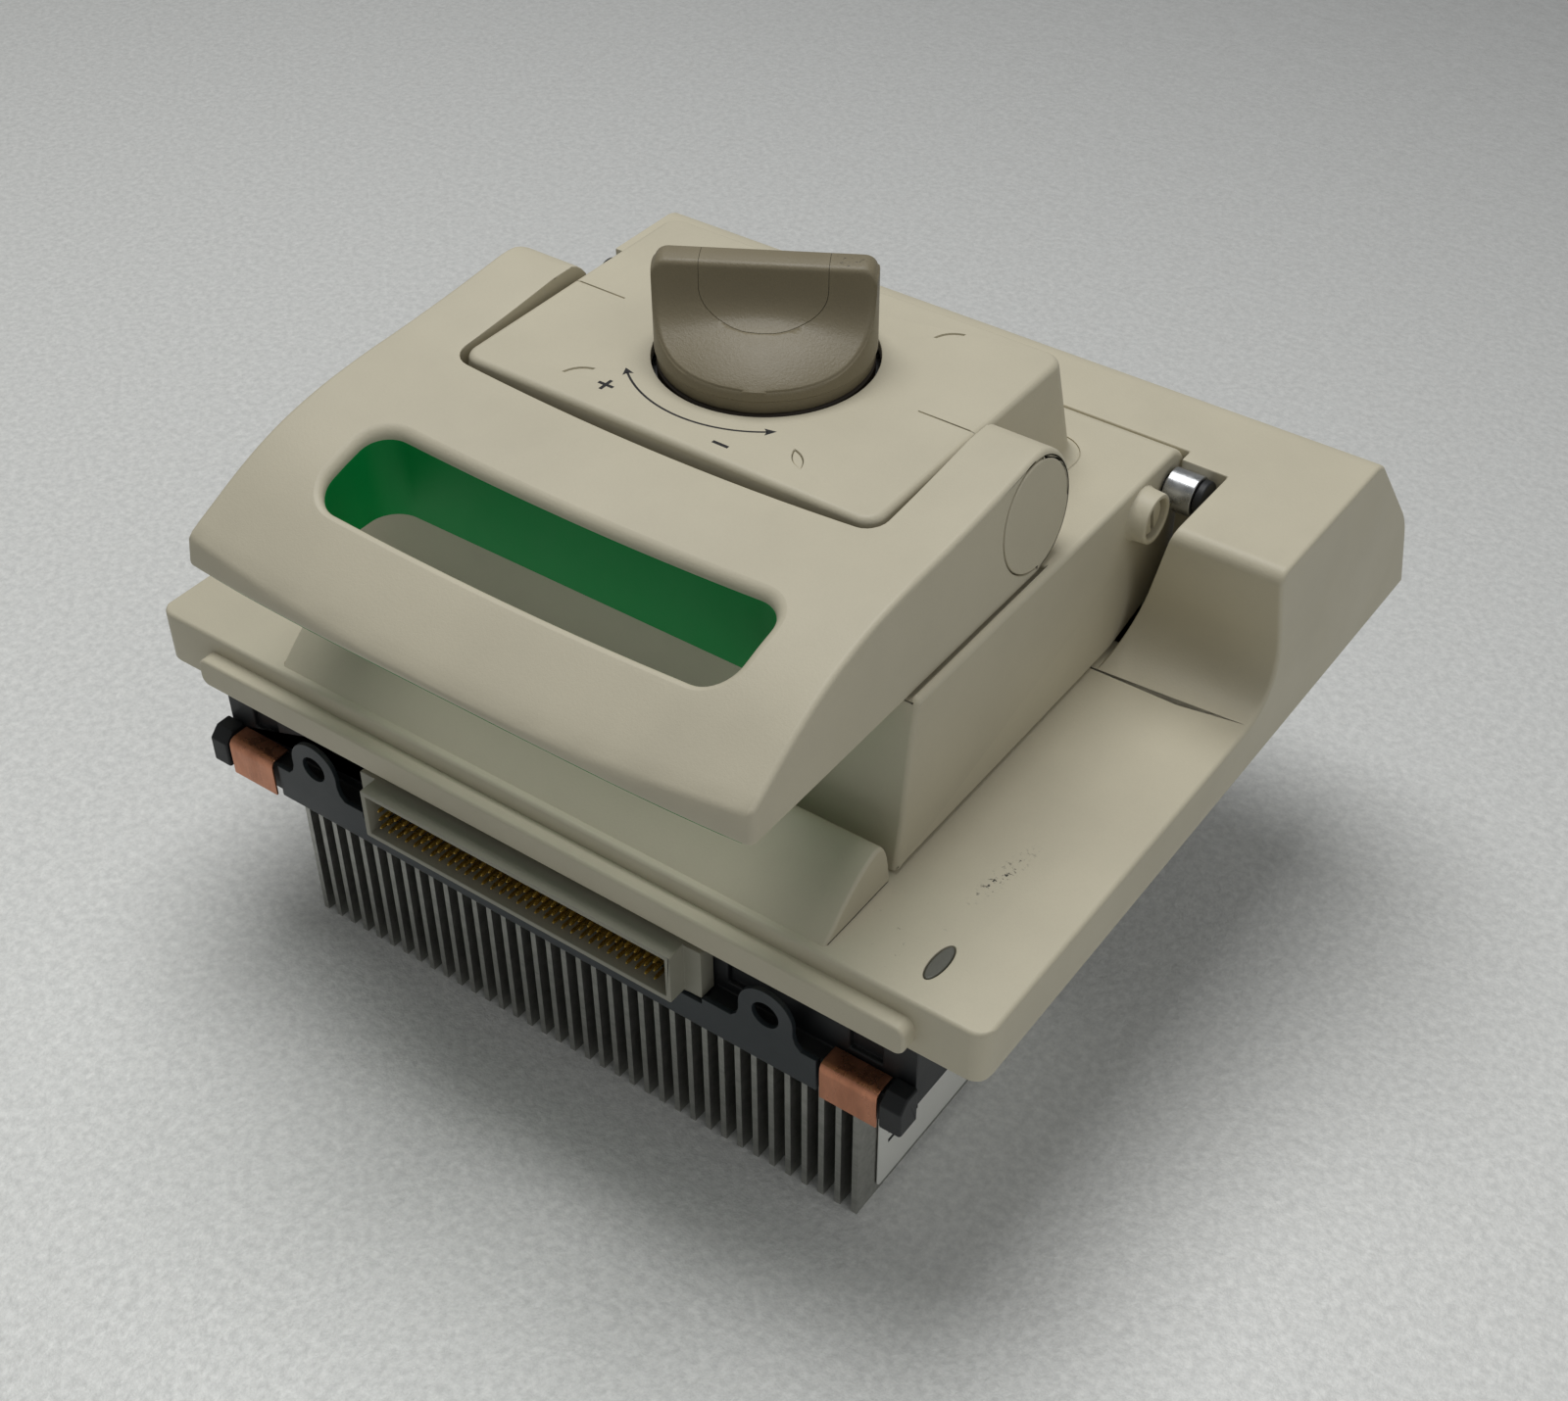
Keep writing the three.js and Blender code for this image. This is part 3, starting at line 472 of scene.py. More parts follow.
def marked(material, middle, reach, angle, scale, level, mark):
    """Adds small dark marks inside an oval patch of the piece, from threshold noise."""
    paint = Paint.over(material)
    centre = placed(middle)
    shift = tuple(-v for v in centre)
    scales = tuple(1 / (v * MM) for v in reach)
    centred = paint.node("ShaderNodeMapping", {"Vector": paint.place, "Location": shift})
    spun = paint.node("ShaderNodeMapping", {"Vector": centred.outputs[0], "Rotation": (0, 0, -angle)})
    shrunk = paint.node("ShaderNodeMapping", {"Vector": spun.outputs[0], "Scale": scales})
    distance = paint.node("ShaderNodeVectorMath", {0: shrunk.outputs[0]}, operation="LENGTH").outputs["Value"]
    inside = paint.ramp(distance, 1.0, 0.35)
    flecks = paint.ramp(paint.noise(scale, 6, 0.75, (1, 1, 1)), level, level + 0.03)
    socket = paint.shader.inputs["Base Color"]
    before = socket.links[0].from_socket
    paint.wire("Base Color", paint.mix(paint.math("MULTIPLY", inside, flecks), before, linear(*mark)))
    return material


def metal(name, colour, roughness, streak=(1, 1, 1), stain=None, stain_amount=0.4):
    """Metal with streaked roughness, fine scratches and blotches of stain."""
    paint = Paint(name)
    base = linear(*colour)
    stain = linear(*(stain or tuple(v * 0.7 for v in colour)))
    blotch = paint.ramp(paint.noise(120, 6, 0.65, streak), 0.42, 0.7)
    lines = paint.ramp(paint.noise(900, 4, 0.6, streak), 0.25, 0.75, 0.82, 1.0)
    shade = paint.mix(paint.math("MULTIPLY", blotch, stain_amount), base, stain)
    grey = paint.node("ShaderNodeCombineColor", {0: lines, 1: lines, 2: lines}).outputs[0]
    paint.wire("Base Color", paint.mix(1.0, shade, grey, "MULTIPLY"))
    rough = paint.noise(260, 5, 0.6, streak)
    paint.wire("Roughness", paint.ramp(rough, 0.3, 0.7, roughness - 0.1, roughness + 0.15))
    paint.wire("Normal", paint.bump(paint.noise(1400, 3, 0.6, streak), 0.25, 0.00006))
    paint.set(Metallic=0.9)
    return paint.material


CASING = moulded("casing_plastic", (197, 190, 168))
SCUFFED = moulded("deck_plastic", (197, 190, 168))
marked(SCUFFED, (94, 40, 0), (2.6, 13, 3), math.radians(-8), 800, 0.56, (40, 38, 34))
marked(SCUFFED, (86, 14, 0), (14, 12, 3), 0, 500, 0.66, (88, 78, 62))
GREEN = moulded("liner_plastic", (0, 138, 68), grain=0.2, dirt=0.05, specular=0.25)
TAUPE = moulded("knob_plastic", (128, 119, 97), grain=0.7, roughness=0.44)
CHIPPED = moulded("knob_body_plastic", (128, 119, 97), grain=0.7, roughness=0.44)
marked(CHIPPED, (16, 96, 90.8), (6, 3.2, 1.6), math.radians(30), 1100, 0.58, (40, 36, 32))
RING = moulded("ring_plastic", (58, 50, 40), grain=0.3, dirt=0.2)
BLACK = moulded("black_moulding", (34, 36, 38), grain=0.25, dirt=0.2)
SLATE = moulded("slate_steel", (44, 50, 54), grain=0.2, roughness=0.42, dirt=0.25)
SHROUD = moulded("connector_plastic", (152, 150, 136), grain=0.3, roughness=0.55, dirt=0.2)
LENS = moulded("lens_plastic", (92, 92, 84), grain=0.15, roughness=0.3, dirt=0.3)
RUBBER = moulded("gasket_rubber", (30, 30, 30), grain=0.5, roughness=0.8)
CERAMIC = moulded("ceramic", (226, 223, 214), grain=0.3, roughness=0.7)
BOARD = moulded("board", (34, 84, 52), grain=0.1, roughness=0.4)
HEATER = moulded("heater_film", (180, 98, 48), grain=0.1, roughness=0.45)
INK = moulded("ink", (24, 24, 26), grain=0.05, roughness=0.6, dirt=0.3)
PAPER = moulded("label_film", (228, 228, 222), grain=0.05, roughness=0.45, dirt=0.15)
ALUMINIUM = metal("aluminium", (186, 186, 180), 0.42, (0.2, 3, 3))
STEEL = metal("plated_steel", (190, 192, 194), 0.26)
BRASS = metal("brass", (190, 160, 90), 0.3)
GOLD = metal("gold_plate", (214, 176, 84), 0.28)
COPPER = metal("copper_sheet", (206, 142, 112), 0.3, (1, 1, 0.3), (128, 82, 60), 0.45)

# ---- Deck casing ---------------------------------------------------------------------------------
COVE = bezier((108, 0), (119, 0), (123, 8), (119.7, 19), 12)


def casing_outline(front=0.0):
    """Side outline of the deck and the housing behind it."""
    corners = [(front, DECK_BOTTOM, 0), (front, 0, 1.0)]
    back = [(114.1, HOUSING_TOP, 3.0), (165.5, HOUSING_TOP, 7), (190.8, 9.5, 30), (DECK_REAR, DECK_BOTTOM, 0)]
    outline = rounded(corners + [(COVE[0][0] - 1, 0, 0), (COVE[0][0], 0, 0)], 4)[:-2] + COVE[:-1]
    tail = rounded([(front, DECK_BOTTOM, 0), (COVE[-1][0], COVE[-1][1], 0)] + back, 8)[1:]
    return outline + tail


def casing_shell():
    """The outline drawn across the deck, with rounded front corners and eased side edges."""
    edge, corner = 1.0, 4.0
    stations = []
    for k in range(7):
        turn = math.pi / 2 * k / 6
        stations.append((DECK_HALF - corner + corner * math.sin(turn), corner * (1 - math.cos(turn))))
    rings = []
    for x, front in stations:
        s = DECK_HALF - x
        drop = edge - math.sqrt(max(edge ** 2 - (edge - s) ** 2, 0)) if s < edge else 0
        rings.append([(x, y, z) for y, z in inset(casing_outline(front), drop)])
    mirrored = [[(-x, y, z) for x, y, z in ring] for ring in reversed(rings)]
    return skin("casing", mirrored + rings)


def notch_outline(grow):
    """Front view of the opening for the lid, widening towards the housing's top."""
    inner = RECESS_HALF + 0.2 + grow
    outer = NOTCH_TOP_HALF + grow
    return [(-inner, 0.02 - grow), (inner, 0.02 - grow), (outer, HOUSING_TOP), (outer + 0.3, 70),
            (-outer - 0.3, 70), (-outer, HOUSING_TOP)]


def deck_casing():
    casing = casing_shell()
    room = [(3, -17), (3, -3), (110, -3), (120.5, -0.5), (125.6, 6.5), (123, 19.5), (116.6, 36.8),
            (163.7, 36.8), (187.9, 8.4), (195.2, -17)]
    hollow = prism_x("hollow", room, SKIN - DECK_HALF, DECK_HALF - SKIN)
    cut(hollow, prism_y("wall", notch_outline(SKIN), 90, NOTCH_REAR + SKIN))
    cut(hollow, block(-130, SKIN - HOUSING_LEFT, 100, 210, -SKIN, 50))
    cut(casing, hollow)
    cut(casing, block(-130, -HOUSING_LEFT, 100, 210, 0, 50))
    cut(casing, block(-130, -RECESS_HALF - 0.2, 100, NOTCH_REAR, 26, 50))
    cut(casing, prism_y("notch", notch_outline(0), 90, NOTCH_REAR))
    cut(casing, block(-RECESS_HALF, RECESS_HALF, 100, RECESS_REAR, 0.02, 60))
    cut(casing, block(-RECESS_HALF, RECESS_HALF, 120.4, RECESS_REAR, -20, 1))
    cut(casing, block(-66, 66, 42, RECESS_REAR, -20, 50))
    cut(casing, prism_z("lens_hole", oval(LENS_X, LENS_Y, 5.3, 1.85, math.pi / 2), -1.5, 2))
    tidied(casing)
    bevelled(casing, 0.45, 35)
    return finished(casing, "casing_moulding", "base", SCUFFED, ["deck_casing"])


def front_rail():
    rail = prism_y("rail", rectangle(-98.5, 98.5, -12.4, -4.8, 2.4), -RAIL_DEPTH, 1.0, 0.8, 0)
    return finished(rail, "front_rail", "base", CASING)


def ramp():
    face = bezier((2, 0), (8.5, 6.2), (14, 10.6), (19.2, 12.1), 12)
    crest = bezier((19.2, 12.1), (22.6, 12.9), (24.4, 10.6), (25.5, 0), 10)[1:]
    outline = [(2, -0.6)] + face + crest + [(25.5, -0.6)]
    return finished(prism_x("ramp", outline, -75.7, 75.7, 0.9), "deck_ramp", "base", CASING)


def status_lens():
    lens = prism_z("lens", oval(LENS_X, LENS_Y, 5.1, 1.65, math.pi / 2), -1.3, -0.1, 0, 0.3)
    return finished(lens, "status_lens_cover", "base", LENS, ["status_lens"])


# ---- Lid -----------------------------------------------------------------------------------------
def lid_outline():
    """Side outline of the lid: drafted front, round rear about the hinge and a raised foot."""
    front = rounded([(27, 0.4, 0.3), (28.9, 12.4, 40), (31.6, 35.5, 40), (33.1, LID_TOP, 1.6),
                     (HINGE_Y, LID_TOP, 0)], 5)[:-1]
    angles = [math.radians(76 - 8 * k) for k in range(12)]
    rear = [(HINGE_Y + HINGE_SWEEP * math.cos(a), HINGE_Z + HINGE_SWEEP * math.sin(a)) for a in angles]
    foot = rounded([(142.9, 29, 0), (145.4, 18.8, 4), (145.4, 14, 3), (132, 4, 6), (116, 0.4, 6),
                    (27, 0.4, 0)], 5)[:-1]
    return front + rear + foot


def raised_plate():
    """The plate over the mechanism: drafted flanks, a foot fillet and a rounded top edge."""
    def ring(z, offset, corner):
        drop = (PLATE_TOP - z) / (PLATE_TOP - LID_TOP)
        half = PLATE_HALF + PLATE_FLARE * drop
        points = rectangle(-half, half, 48.5 - 0.5 * drop, 123.7 + 2.8 * drop, corner, 8)
        out = []
        for (x, y), (nx, ny) in zip(points, inset(points, -1)):
            reach = offset * (1 + 1.8 * min(max((y - 97) / 8, 0), 1))
            out.append((x + (nx - x) * reach, y + (ny - y) * reach, z))
        return out

    levels = [(LID_TOP - 4, 0.9), (LID_TOP, 0.9)]
    levels += [(LID_TOP + 3 * (1 - math.cos(a)), 0.9 * (1 - math.sin(a))) for a in
               (math.radians(18 * k) for k in range(1, 6))]
    rings = [ring(z, offset, 5.5) for z, offset in levels]
    for s, d in reversed(rounding(1.5, 5)):
        flank = [point[:2] for point in ring(PLATE_TOP - s, 0, 4.5)]
        rings.append([(x, y, PLATE_TOP - s) for x, y in inset(flank, d)])
    return skin("plate", rings)


PLUG_SIGNS = [(sx, sy) for sx in (-1, 1) for sy in (-1, 1)]


def plug_outline(sx, sy, half_length, half_width):
    angle = sx * sy * math.pi / 4
    return leaf(KNOB_X + sx * PLUG_OFFSET, KNOB_Y + sy * PLUG_OFFSET, half_length, half_width, angle)


def lid_cover():
    lid = prism_x("lid", lid_outline(), -LID_HALF, LID_HALF, 1.3)
    join(lid, raised_plate())
    room = [(30.4, -3), (31.9, 12.6), (34.5, 35.5), (35.8, LID_TOP - SKIN), (135.8, LID_TOP - SKIN),
            (138.3, 37.6), (139.9, 27.4), (142.4, 18.4), (142.4, 15.4), (131, 6.9), (128, -3)]
    hollow = prism_x("hollow", room, SKIN - LID_HALF, LID_HALF - SKIN)
    plate_room = prism_z("room", rectangle(-PLATE_HALF + SKIN, PLATE_HALF - SKIN, 51.5, 120.7, 3), 38,
                         PLATE_TOP - SKIN)
    cut(lid, hollow, plate_room)
    floor = HANDLE_BOTTOM - 0.5
    cut(lid, block(1.9 - LID_HALF, LID_HALF - 1.9, 20, 48.0, floor, 60))
    for side in (-1, 1):
        x0, x1 = span(side, 58.6, LID_HALF - 1.9)
        cut(lid, block(x0, x1, 20, PIVOT_Y + 3, floor, 75))
        cut(lid, prism_x("arm_end", circle(PIVOT_Y, PIVOT_Z, ARM_END_RADIUS + 0.4, 72), x0, x1))
        x0, x1 = span(side, 39.5, 60)
        cut(lid, block(x0, x1, 87.2, 87.4, PLATE_TOP - 0.25, 75))
        x0, x1 = span(side, 48, 70)
        cut(lid, prism_x("bore", circle(PIVOT_Y, PIVOT_Z, 4.4, 32), x0, x1))
    cut(lid, prism_x("hinge_bore", circle(HINGE_Y, HINGE_Z, 2.9, 24), -90, 90))
    socket = turned("socket", [(0, 44), (25.1, 44), (25.1, PLATE_TOP - 0.5), (25.9, 75), (0, 75)], 96)
    cut(lid, moved(socket, Matrix.Translation((KNOB_X, KNOB_Y, 0))))
    for sx, sy in PLUG_SIGNS:
        cut(lid, prism_z("plug_hole", plug_outline(sx, sy, 3.6, 1.15), PLATE_TOP - 1.2, 70))
    tidied(lid)
    bevelled(lid, 0.3, 40)
    return finished(lid, "lid_moulding", "lid", CASING, ["lid_cover"])


def plate_plugs():
    for sx, sy in PLUG_SIGNS:
        plug = prism_z("plug", plug_outline(sx, sy, 3.4, 1.0), PLATE_TOP - 1.4, PLATE_TOP - 0.35, 0, 0.25)
        finished(plug, f"plate_plug_{'rl'[sx < 0]}{'bf'[sy < 0]}", "lid", CASING)


def screw_bosses():
    for side, tag in SIDES:
        x0, x1 = LID_HALF - 0.6, 80.5
        profile = [(6.9, x0), (6.5, x0 + 0.8), (6.2, x0 + 1.6), (6.1, x0 + 3), (6.0, x1 - 0.6),
                   (5.85, x1 - 0.15), (5.6, x1), (5.1, x1), (4.85, x1 - 0.2), (4.7, x1 - 0.6),
                   (4.6, x0 + 0.2)]
        rings = [[(side * x, y, z) for y, z in circle(BOSS_Y, BOSS_Z, r, 48)] for r, x in profile]
        boss = skin("boss", rings)
        finished(boss, f"screw_boss_{tag}", "lid", CASING)
        low, high = span(side, x0 + 1, x1 - 1.3)
        screw = prism_x("screw", circle(BOSS_Y, BOSS_Z, 4.2, 48), low, high, 0.5)
        slot = block(*span(side, x1 - 4.2, 90), -0.7, 0.7, -9, 9)
        moved(slot, Matrix.Translation((0, BOSS_Y, BOSS_Z)) @ Matrix.Rotation(math.radians(12), 4, "X"))
        cut(screw, slot)
        finished(screw, f"slotted_screw_{tag}", "lid", CASING, [f"lid_screw_{tag}"])


# ---- Handle --------------------------------------------------------------------------------------
CROWN = [(-22, 43.6), (-16, 47.5), (-10, 50.8), (-2, 55), (6, 58.4), (14, 60.8), (24, 62.7), (36, 63.9),
         (50, 64.6), (66, 65.8), (84, 67.6), (102, 69.4)]


def crown(y):
    """Height of the handle's top along its middle, smooth through the crown points."""
    i = 1
    while i < len(CROWN) - 3 and CROWN[i + 1][0] < y:
        i += 1
    (ya, za), (yb, zb), (yc, zc), (yd, zd) = CROWN[i - 1:i + 3]
    t = (y - yb) / (yc - yb)
    mb = (zc - za) / (yc - ya) * (yc - yb)
    mc = (zd - zb) / (yd - yb) * (yc - yb)
    return (zb * (2 * t ** 3 - 3 * t ** 2 + 1) + mb * (t ** 3 - 2 * t ** 2 + t)
            + zc * (3 * t ** 2 - 2 * t ** 3) + mc * (t ** 3 - t ** 2))


def handle_top(x, y):
    """Height of the handle's top, a little higher at its ends and never above the arm ends."""
    return min(crown(y) + 3.6 * (x / 72) ** 2, PIVOT_Z + ARM_END_RADIUS)


def handle_outline(x, shrink, bottom):
    """Side outline of the handle at one distance from its middle, moved inwards by shrink."""
    start = -20 + 4 * (abs(x) / 90) ** 4 + shrink
    low = bottom + shrink
    steps = 34
    outline = [(PIVOT_Y, low), (30, low), (start + 0.9, low), (start + 0.25, low + 0.25), (start, low + 0.9)]
    lip = max(handle_top(x, start + 0.5) - 0.5 - shrink, low + 1.9)
    outline += [(start, low + 1.6), (start + 0.5, lip)]
    for k in range(steps + 1):
        y = start + 1.6 + (PIVOT_Y - start - 1.6) * k / steps
        outline.append((y, max(handle_top(x, y) - shrink, lip + 0.1 + 0.02 * k)))
    radius = ARM_END_RADIUS - shrink
    for k in range(1, 20):
        angle = math.pi / 2 - math.pi * k / 20
        z = min(PIVOT_Z + radius * math.sin(angle), outline[-1][1])
        outline.append((PIVOT_Y + radius * math.cos(angle), z))
    return outline


def drafted(point):
    """Leans the handle's ends inwards towards the top."""
    x, y, z = point
    weight = max(abs(x) - DRAFT_START, 0) / (HANDLE_HALF - DRAFT_START)
    return (math.copysign(abs(x) + weight * HANDLE_DRAFT * (DRAFT_LEVEL - z), x), y, z)


def handle_body(shrink, name):
    """The solid handle, or with a shrink the room inside it, open below."""
    half = HANDLE_HALF - shrink
    bottom = HANDLE_BOTTOM if not shrink else HANDLE_BOTTOM - 2 - 2 * shrink
    edge = 1.4
    ends = [(half - s, d) for s, d in rounding(edge, 5)]
    inner = [half - edge - 3 - k * 7 for k in range(int((half - edge - 3) / 7) + 1)]
    right = [(x, 0.0) for x in reversed(inner)] + [(x, d) for x, d in reversed(ends)]
    right = [(x, d) for x, d in right if x > 0.5]
    stations = [(-x, d) for x, d in reversed(right)] + [(0.0, 0.0)] + right
    rings = [[drafted((x, y, z)) for y, z in handle_outline(x, d + shrink, bottom)] for x, d in stations]
    return skin(name, rings)


WINDOW = (-53.2, 53.2, -0.2, 22.2, 7.0)


def subdivided(outline):
    """The outline with its long stretches split into pieces of 4 to 6 mm."""
    points = []
    for i, here in enumerate(outline):
        after = outline[(i + 1) % len(outline)]
        length = math.dist(here, after)
        pieces = max(int(length / 4.0), 1)
        points += [tuple(a + (b - a) * k / pieces for a, b in zip(here, after)) for k in range(pieces)]
    return points


def window_outline(offset):
    x0, x1, y0, y1, radius = WINDOW
    return inset(subdivided(rectangle(x0, x1, y0, y1, radius, 10)), -offset)


def window_cutter():
    """A through cut whose mouth rolls over into the handle's top."""
    roll = 2.3
    rings = [[(x, y, 30) for x, y in window_outline(0)]]
    for k in range(8):
        angle = math.radians(11.5 * k)
        offset = roll * (1 - math.cos(angle))
        rise = roll * math.sin(angle)
        rings.append([(x, y, handle_top(x, y) - roll + rise) for x, y in window_outline(offset)])
    rings.append([(x, y, handle_top(x, y) + 1.2) for x, y in window_outline(roll + 5)])
    rings.append([(x, y, 90) for x, y in window_outline(roll + 6)])
    return skin("window", rings)


def arm_pocket():
    """The room behind the bar, between the arms, with flanks that follow the plate's draft."""
    foot, top, sweep = 58.6, 55.4, 35.7
    rings = []
    for k in range(17):
        z = 28 + 44 * k / 16
        rise = min(max((z - LID_TOP) / (PLATE_TOP + 1 - LID_TOP), 0), 1)
        half = foot + (top - foot) * rise
        front = PIVOT_Y - math.sqrt(sweep ** 2 - (z - PIVOT_Z) ** 2)
        rings.append([(x, y, z) for x, y in rectangle(-half, half, front, 130, 4.6, 6)])
    rings.append([(x, y, 100) for x, y, _ in rings[-1]])
    return skin("pocket", rings)


def handle_shell():
    handle = handle_body(0, "handle")
    hollow = handle_body(SKIN, "hollow")
    front = copied(hollow)
    keep(front, block(-90, 90, -40, 44.2, 0, 100))
    cut(handle, arm_pocket())
    cut(handle, front)
    for side in (-1, 1):
        x0, x1 = span(side, 61.8, 90)
        arm = keep(copied(hollow), block(x0, x1, 40, PIVOT_Y - 18, 0, 100))
        cut(handle, arm)
        x0, x1 = span(side, 50, 70.4)
        cut(handle, prism_x("bore", circle(PIVOT_Y, PIVOT_Z, 4.3, 32), x0, x1))
        cap = prism_x("cap", circle(PIVOT_Y, PIVOT_Z, 12.75, 72), 0, 3)
        moved(cap, pivot_lean(side))
        cut(handle, cap)
    bpy.data.objects.remove(hollow)
    cut(handle, window_cutter())
    tidied(handle)
    bevelled(handle, 0.4, 42)
    return finished(handle, "handle_moulding", "handle", CASING, ["handle_shell"])


def pivot_lean(side):
    """Moves a disc drawn from x 0 outwards so that its x 1.6 face lies on the arm's leaning side."""
    lean = Matrix.Identity(4)
    lean[0][2] = -HANDLE_DRAFT
    lean[0][3] = HANDLE_HALF - 1.6 + HANDLE_DRAFT * DRAFT_LEVEL
    return Matrix.Scale(side, 4, (1, 0, 0)) @ lean


def pivot_caps():
    for side, tag in SIDES:
        cap = prism_x("cap", circle(PIVOT_Y, PIVOT_Z, 12.45, 72), 0.1, 1.75, 0, 0.45)
        moved(cap, pivot_lean(side))
        finished(cap, f"pivot_cap_cover_{tag}", "handle", CASING, [f"pivot_cap_{tag}"])


def handle_liner():
    """Green inner walls of the window, and the tray whose edge shows under the lip."""
    bottom = HANDLE_BOTTOM - 0.2
    wall = skin("liner", [[(x, y, bottom) for x, y in window_outline(1.7)],
                          [(x, y, handle_top(x, y) - 3.0) for x, y in window_outline(1.7)],
                          [(x, y, handle_top(x, y) - 2.5) for x, y in window_outline(0.0)],
                          [(x, y, handle_top(x, y) - 2.7) for x, y in window_outline(-0.12)],
                          [(x, y, bottom) for x, y in window_outline(-0.12)]], closed=True)
    finished(wall, "handle_liner_wall", "handle", GREEN, ["handle_liner"])
    rings = []
    for z in (HANDLE_BOTTOM - 0.55, HANDLE_BOTTOM + 0.25):
        ring = []
        for k in range(33):
            x = -70.5 + 141 * k / 32
            ring.append((x, -20 + 4 * (abs(x) / 90) ** 4 + 0.9, z))
        ring += [(70.5, 31.5, z), (-70.5, 31.5, z)]
        rings.append(ring)
    tray = skin("tray", rings)
    cut(tray, skin("hole", [[(x, y, z) for x, y in window_outline(0.4)] for z in (30, 60)]))
    return finished(tray, "handle_liner_tray", "handle", GREEN)


# ---- Knob ----------------------------------------------------------------------------------------
def grip_side():
    """Height of the grip bar's side over the distance from its middle plane, from the top to the foot."""
    top = [(0, KNOB_TOP + 0.2), (1.2, KNOB_TOP + 0.15), (2.3, KNOB_TOP)]
    turn = [(2.3 + 1.4 * math.sin(a), KNOB_TOP - 1.4 * (1 - math.cos(a))) for a in
            (math.radians(16 * k) for k in range(1, 6))]
    fall = bezier((3.72, KNOB_TOP - 1.7), (4.0, 84.5), (5.2, 79.5), (10.5, 76.2), 16)
    foot = [(10.5 + 13.3 * k / 12, 76.2 - 9 * k / 12) for k in range(1, 13)]
    return top + turn + fall + foot


def dome(radius):
    """Height of the knob's shoulder at a radius."""
    return 72.2 + 7.2 * (1 - (radius / KNOB_RADIUS) ** 2) ** 0.85


def knob_row(y, height, reach):
    """Points across the knob at one distance from its middle plane, with rounded ends."""
    half = math.sqrt(max(reach ** 2 - y ** 2, 1))
    corner = min(max((height - 72) * 0.16, 0.5), 2.8, half / 3)
    blend = 2.2
    ends = [(half - corner + corner * math.sin(a), corner * (1 - math.cos(a))) for a in
            (math.radians(15 * k) for k in range(1, 6))]
    middle = [(-(half - corner) + 2 * (half - corner) * k / 14, 0.0) for k in range(15)]
    row = []
    for x, drop in [(-x, d) for x, d in reversed(ends)] + middle + ends:
        shoulder = dome(min(math.hypot(x, y), KNOB_RADIUS))
        gap = (height - shoulder) / blend
        over = blend * math.log(1 + math.exp(-abs(gap)))
        row.append((x, y, max(height, shoulder) + over * 0.9 * min(1, abs(y) / 4) - drop))
    return row


def knob_blank():
    """The knob as rows over its top, closed with a wall that runs round its rim."""
    side = grip_side()
    halves = [(-y, z) for y, z in reversed(side[1:])] + side
    reach = KNOB_RADIUS - 0.35
    bm = bmesh.new()
    rows = [[bm.verts.new(p) for p in knob_row(y, z, reach)] for y, z in halves]
    for near, far in zip(rows, rows[1:]):
        for j in range(len(near) - 1):
            bm.faces.new((near[j], near[j + 1], far[j + 1], far[j]))
    rim = rows[0] + [row[-1] for row in rows[1:-1]] + rows[-1][::-1] + [row[0] for row in rows[-2:0:-1]]

    def lowered(radius, level):
        ring = []
        for vertex in rim:
            x, y, z = vertex.co
            scale = radius / math.hypot(x, y)
            ring.append(bm.verts.new((x * scale, y * scale, level(z))))
        return ring

    walls = [rim, lowered(KNOB_RADIUS - 0.08, lambda z: z - 0.3), lowered(KNOB_RADIUS, lambda z: z - 0.8)]
    for part in (0.25, 0.5, 0.75):
        walls.append(lowered(KNOB_RADIUS, lambda z, part=part: (z - 0.8) * (1 - part) + 70.3 * part))
    walls += [lowered(KNOB_RADIUS, lambda z: 70.3), lowered(KNOB_RADIUS - 0.35, lambda z: 69.9),
              lowered(KNOB_RADIUS - 0.5, lambda z: 67.4), lowered(KNOB_RADIUS - 0.9, lambda z: 66.8),
              lowered(KNOB_RADIUS - 1.8, lambda z: KNOB_BOTTOM)]
    for near, far in zip(walls, walls[1:]):
        for j in range(len(rim)):
            k = (j + 1) % len(rim)
            bm.faces.new((near[j], near[k], far[k], far[j]))
    bm.faces.new(walls[-1])
    return from_bmesh("knob", bm)


def inlay_prism(shrink):
    """U-shaped outline of the inlay, seen from the front of the grip bar."""
    half, low = 13.9 - shrink, 78.6 + shrink
    middle = low + 7
    outline = [(half, KNOB_TOP + 4)]
    for k in range(25):
        angle = -math.pi * k / 24
        wide, deep = math.cos(angle), math.sin(angle)
        outline.append((half * math.copysign(abs(wide) ** 0.62, wide), middle - 7 * abs(deep) ** 0.9))
    outline.append((-half, KNOB_TOP + 4))
    return prism_y("inlay", outline, -30, 30)


def knob():
    placing = Matrix.Translation((KNOB_X, KNOB_Y, 0)) @ Matrix.Rotation(KNOB_TURN, 4, "Z")
    blank = knob_blank()
    inlay = keep(copied(blank), inlay_prism(0.11))
    cut(blank, inlay_prism(0))
    finished(moved(blank, placing), "knob_grip", "knob", CHIPPED, ["force_knob"], 34)
    finished(moved(inlay, placing), "knob_grip_inlay", "knob", TAUPE, ["knob_inlay"], 34)
    profile = [(0, 62.7), (23.4, 62.7), (23.9, 63.2), (23.9, KNOB_BOTTOM - 0.3), (23.4, KNOB_BOTTOM + 0.1),
               (0, KNOB_BOTTOM + 0.1)]
    ring = moved(turned("ring", profile, 96), placing)
    finished(ring, "knob_skirt_ring", "knob", RING, ["knob_ring"])


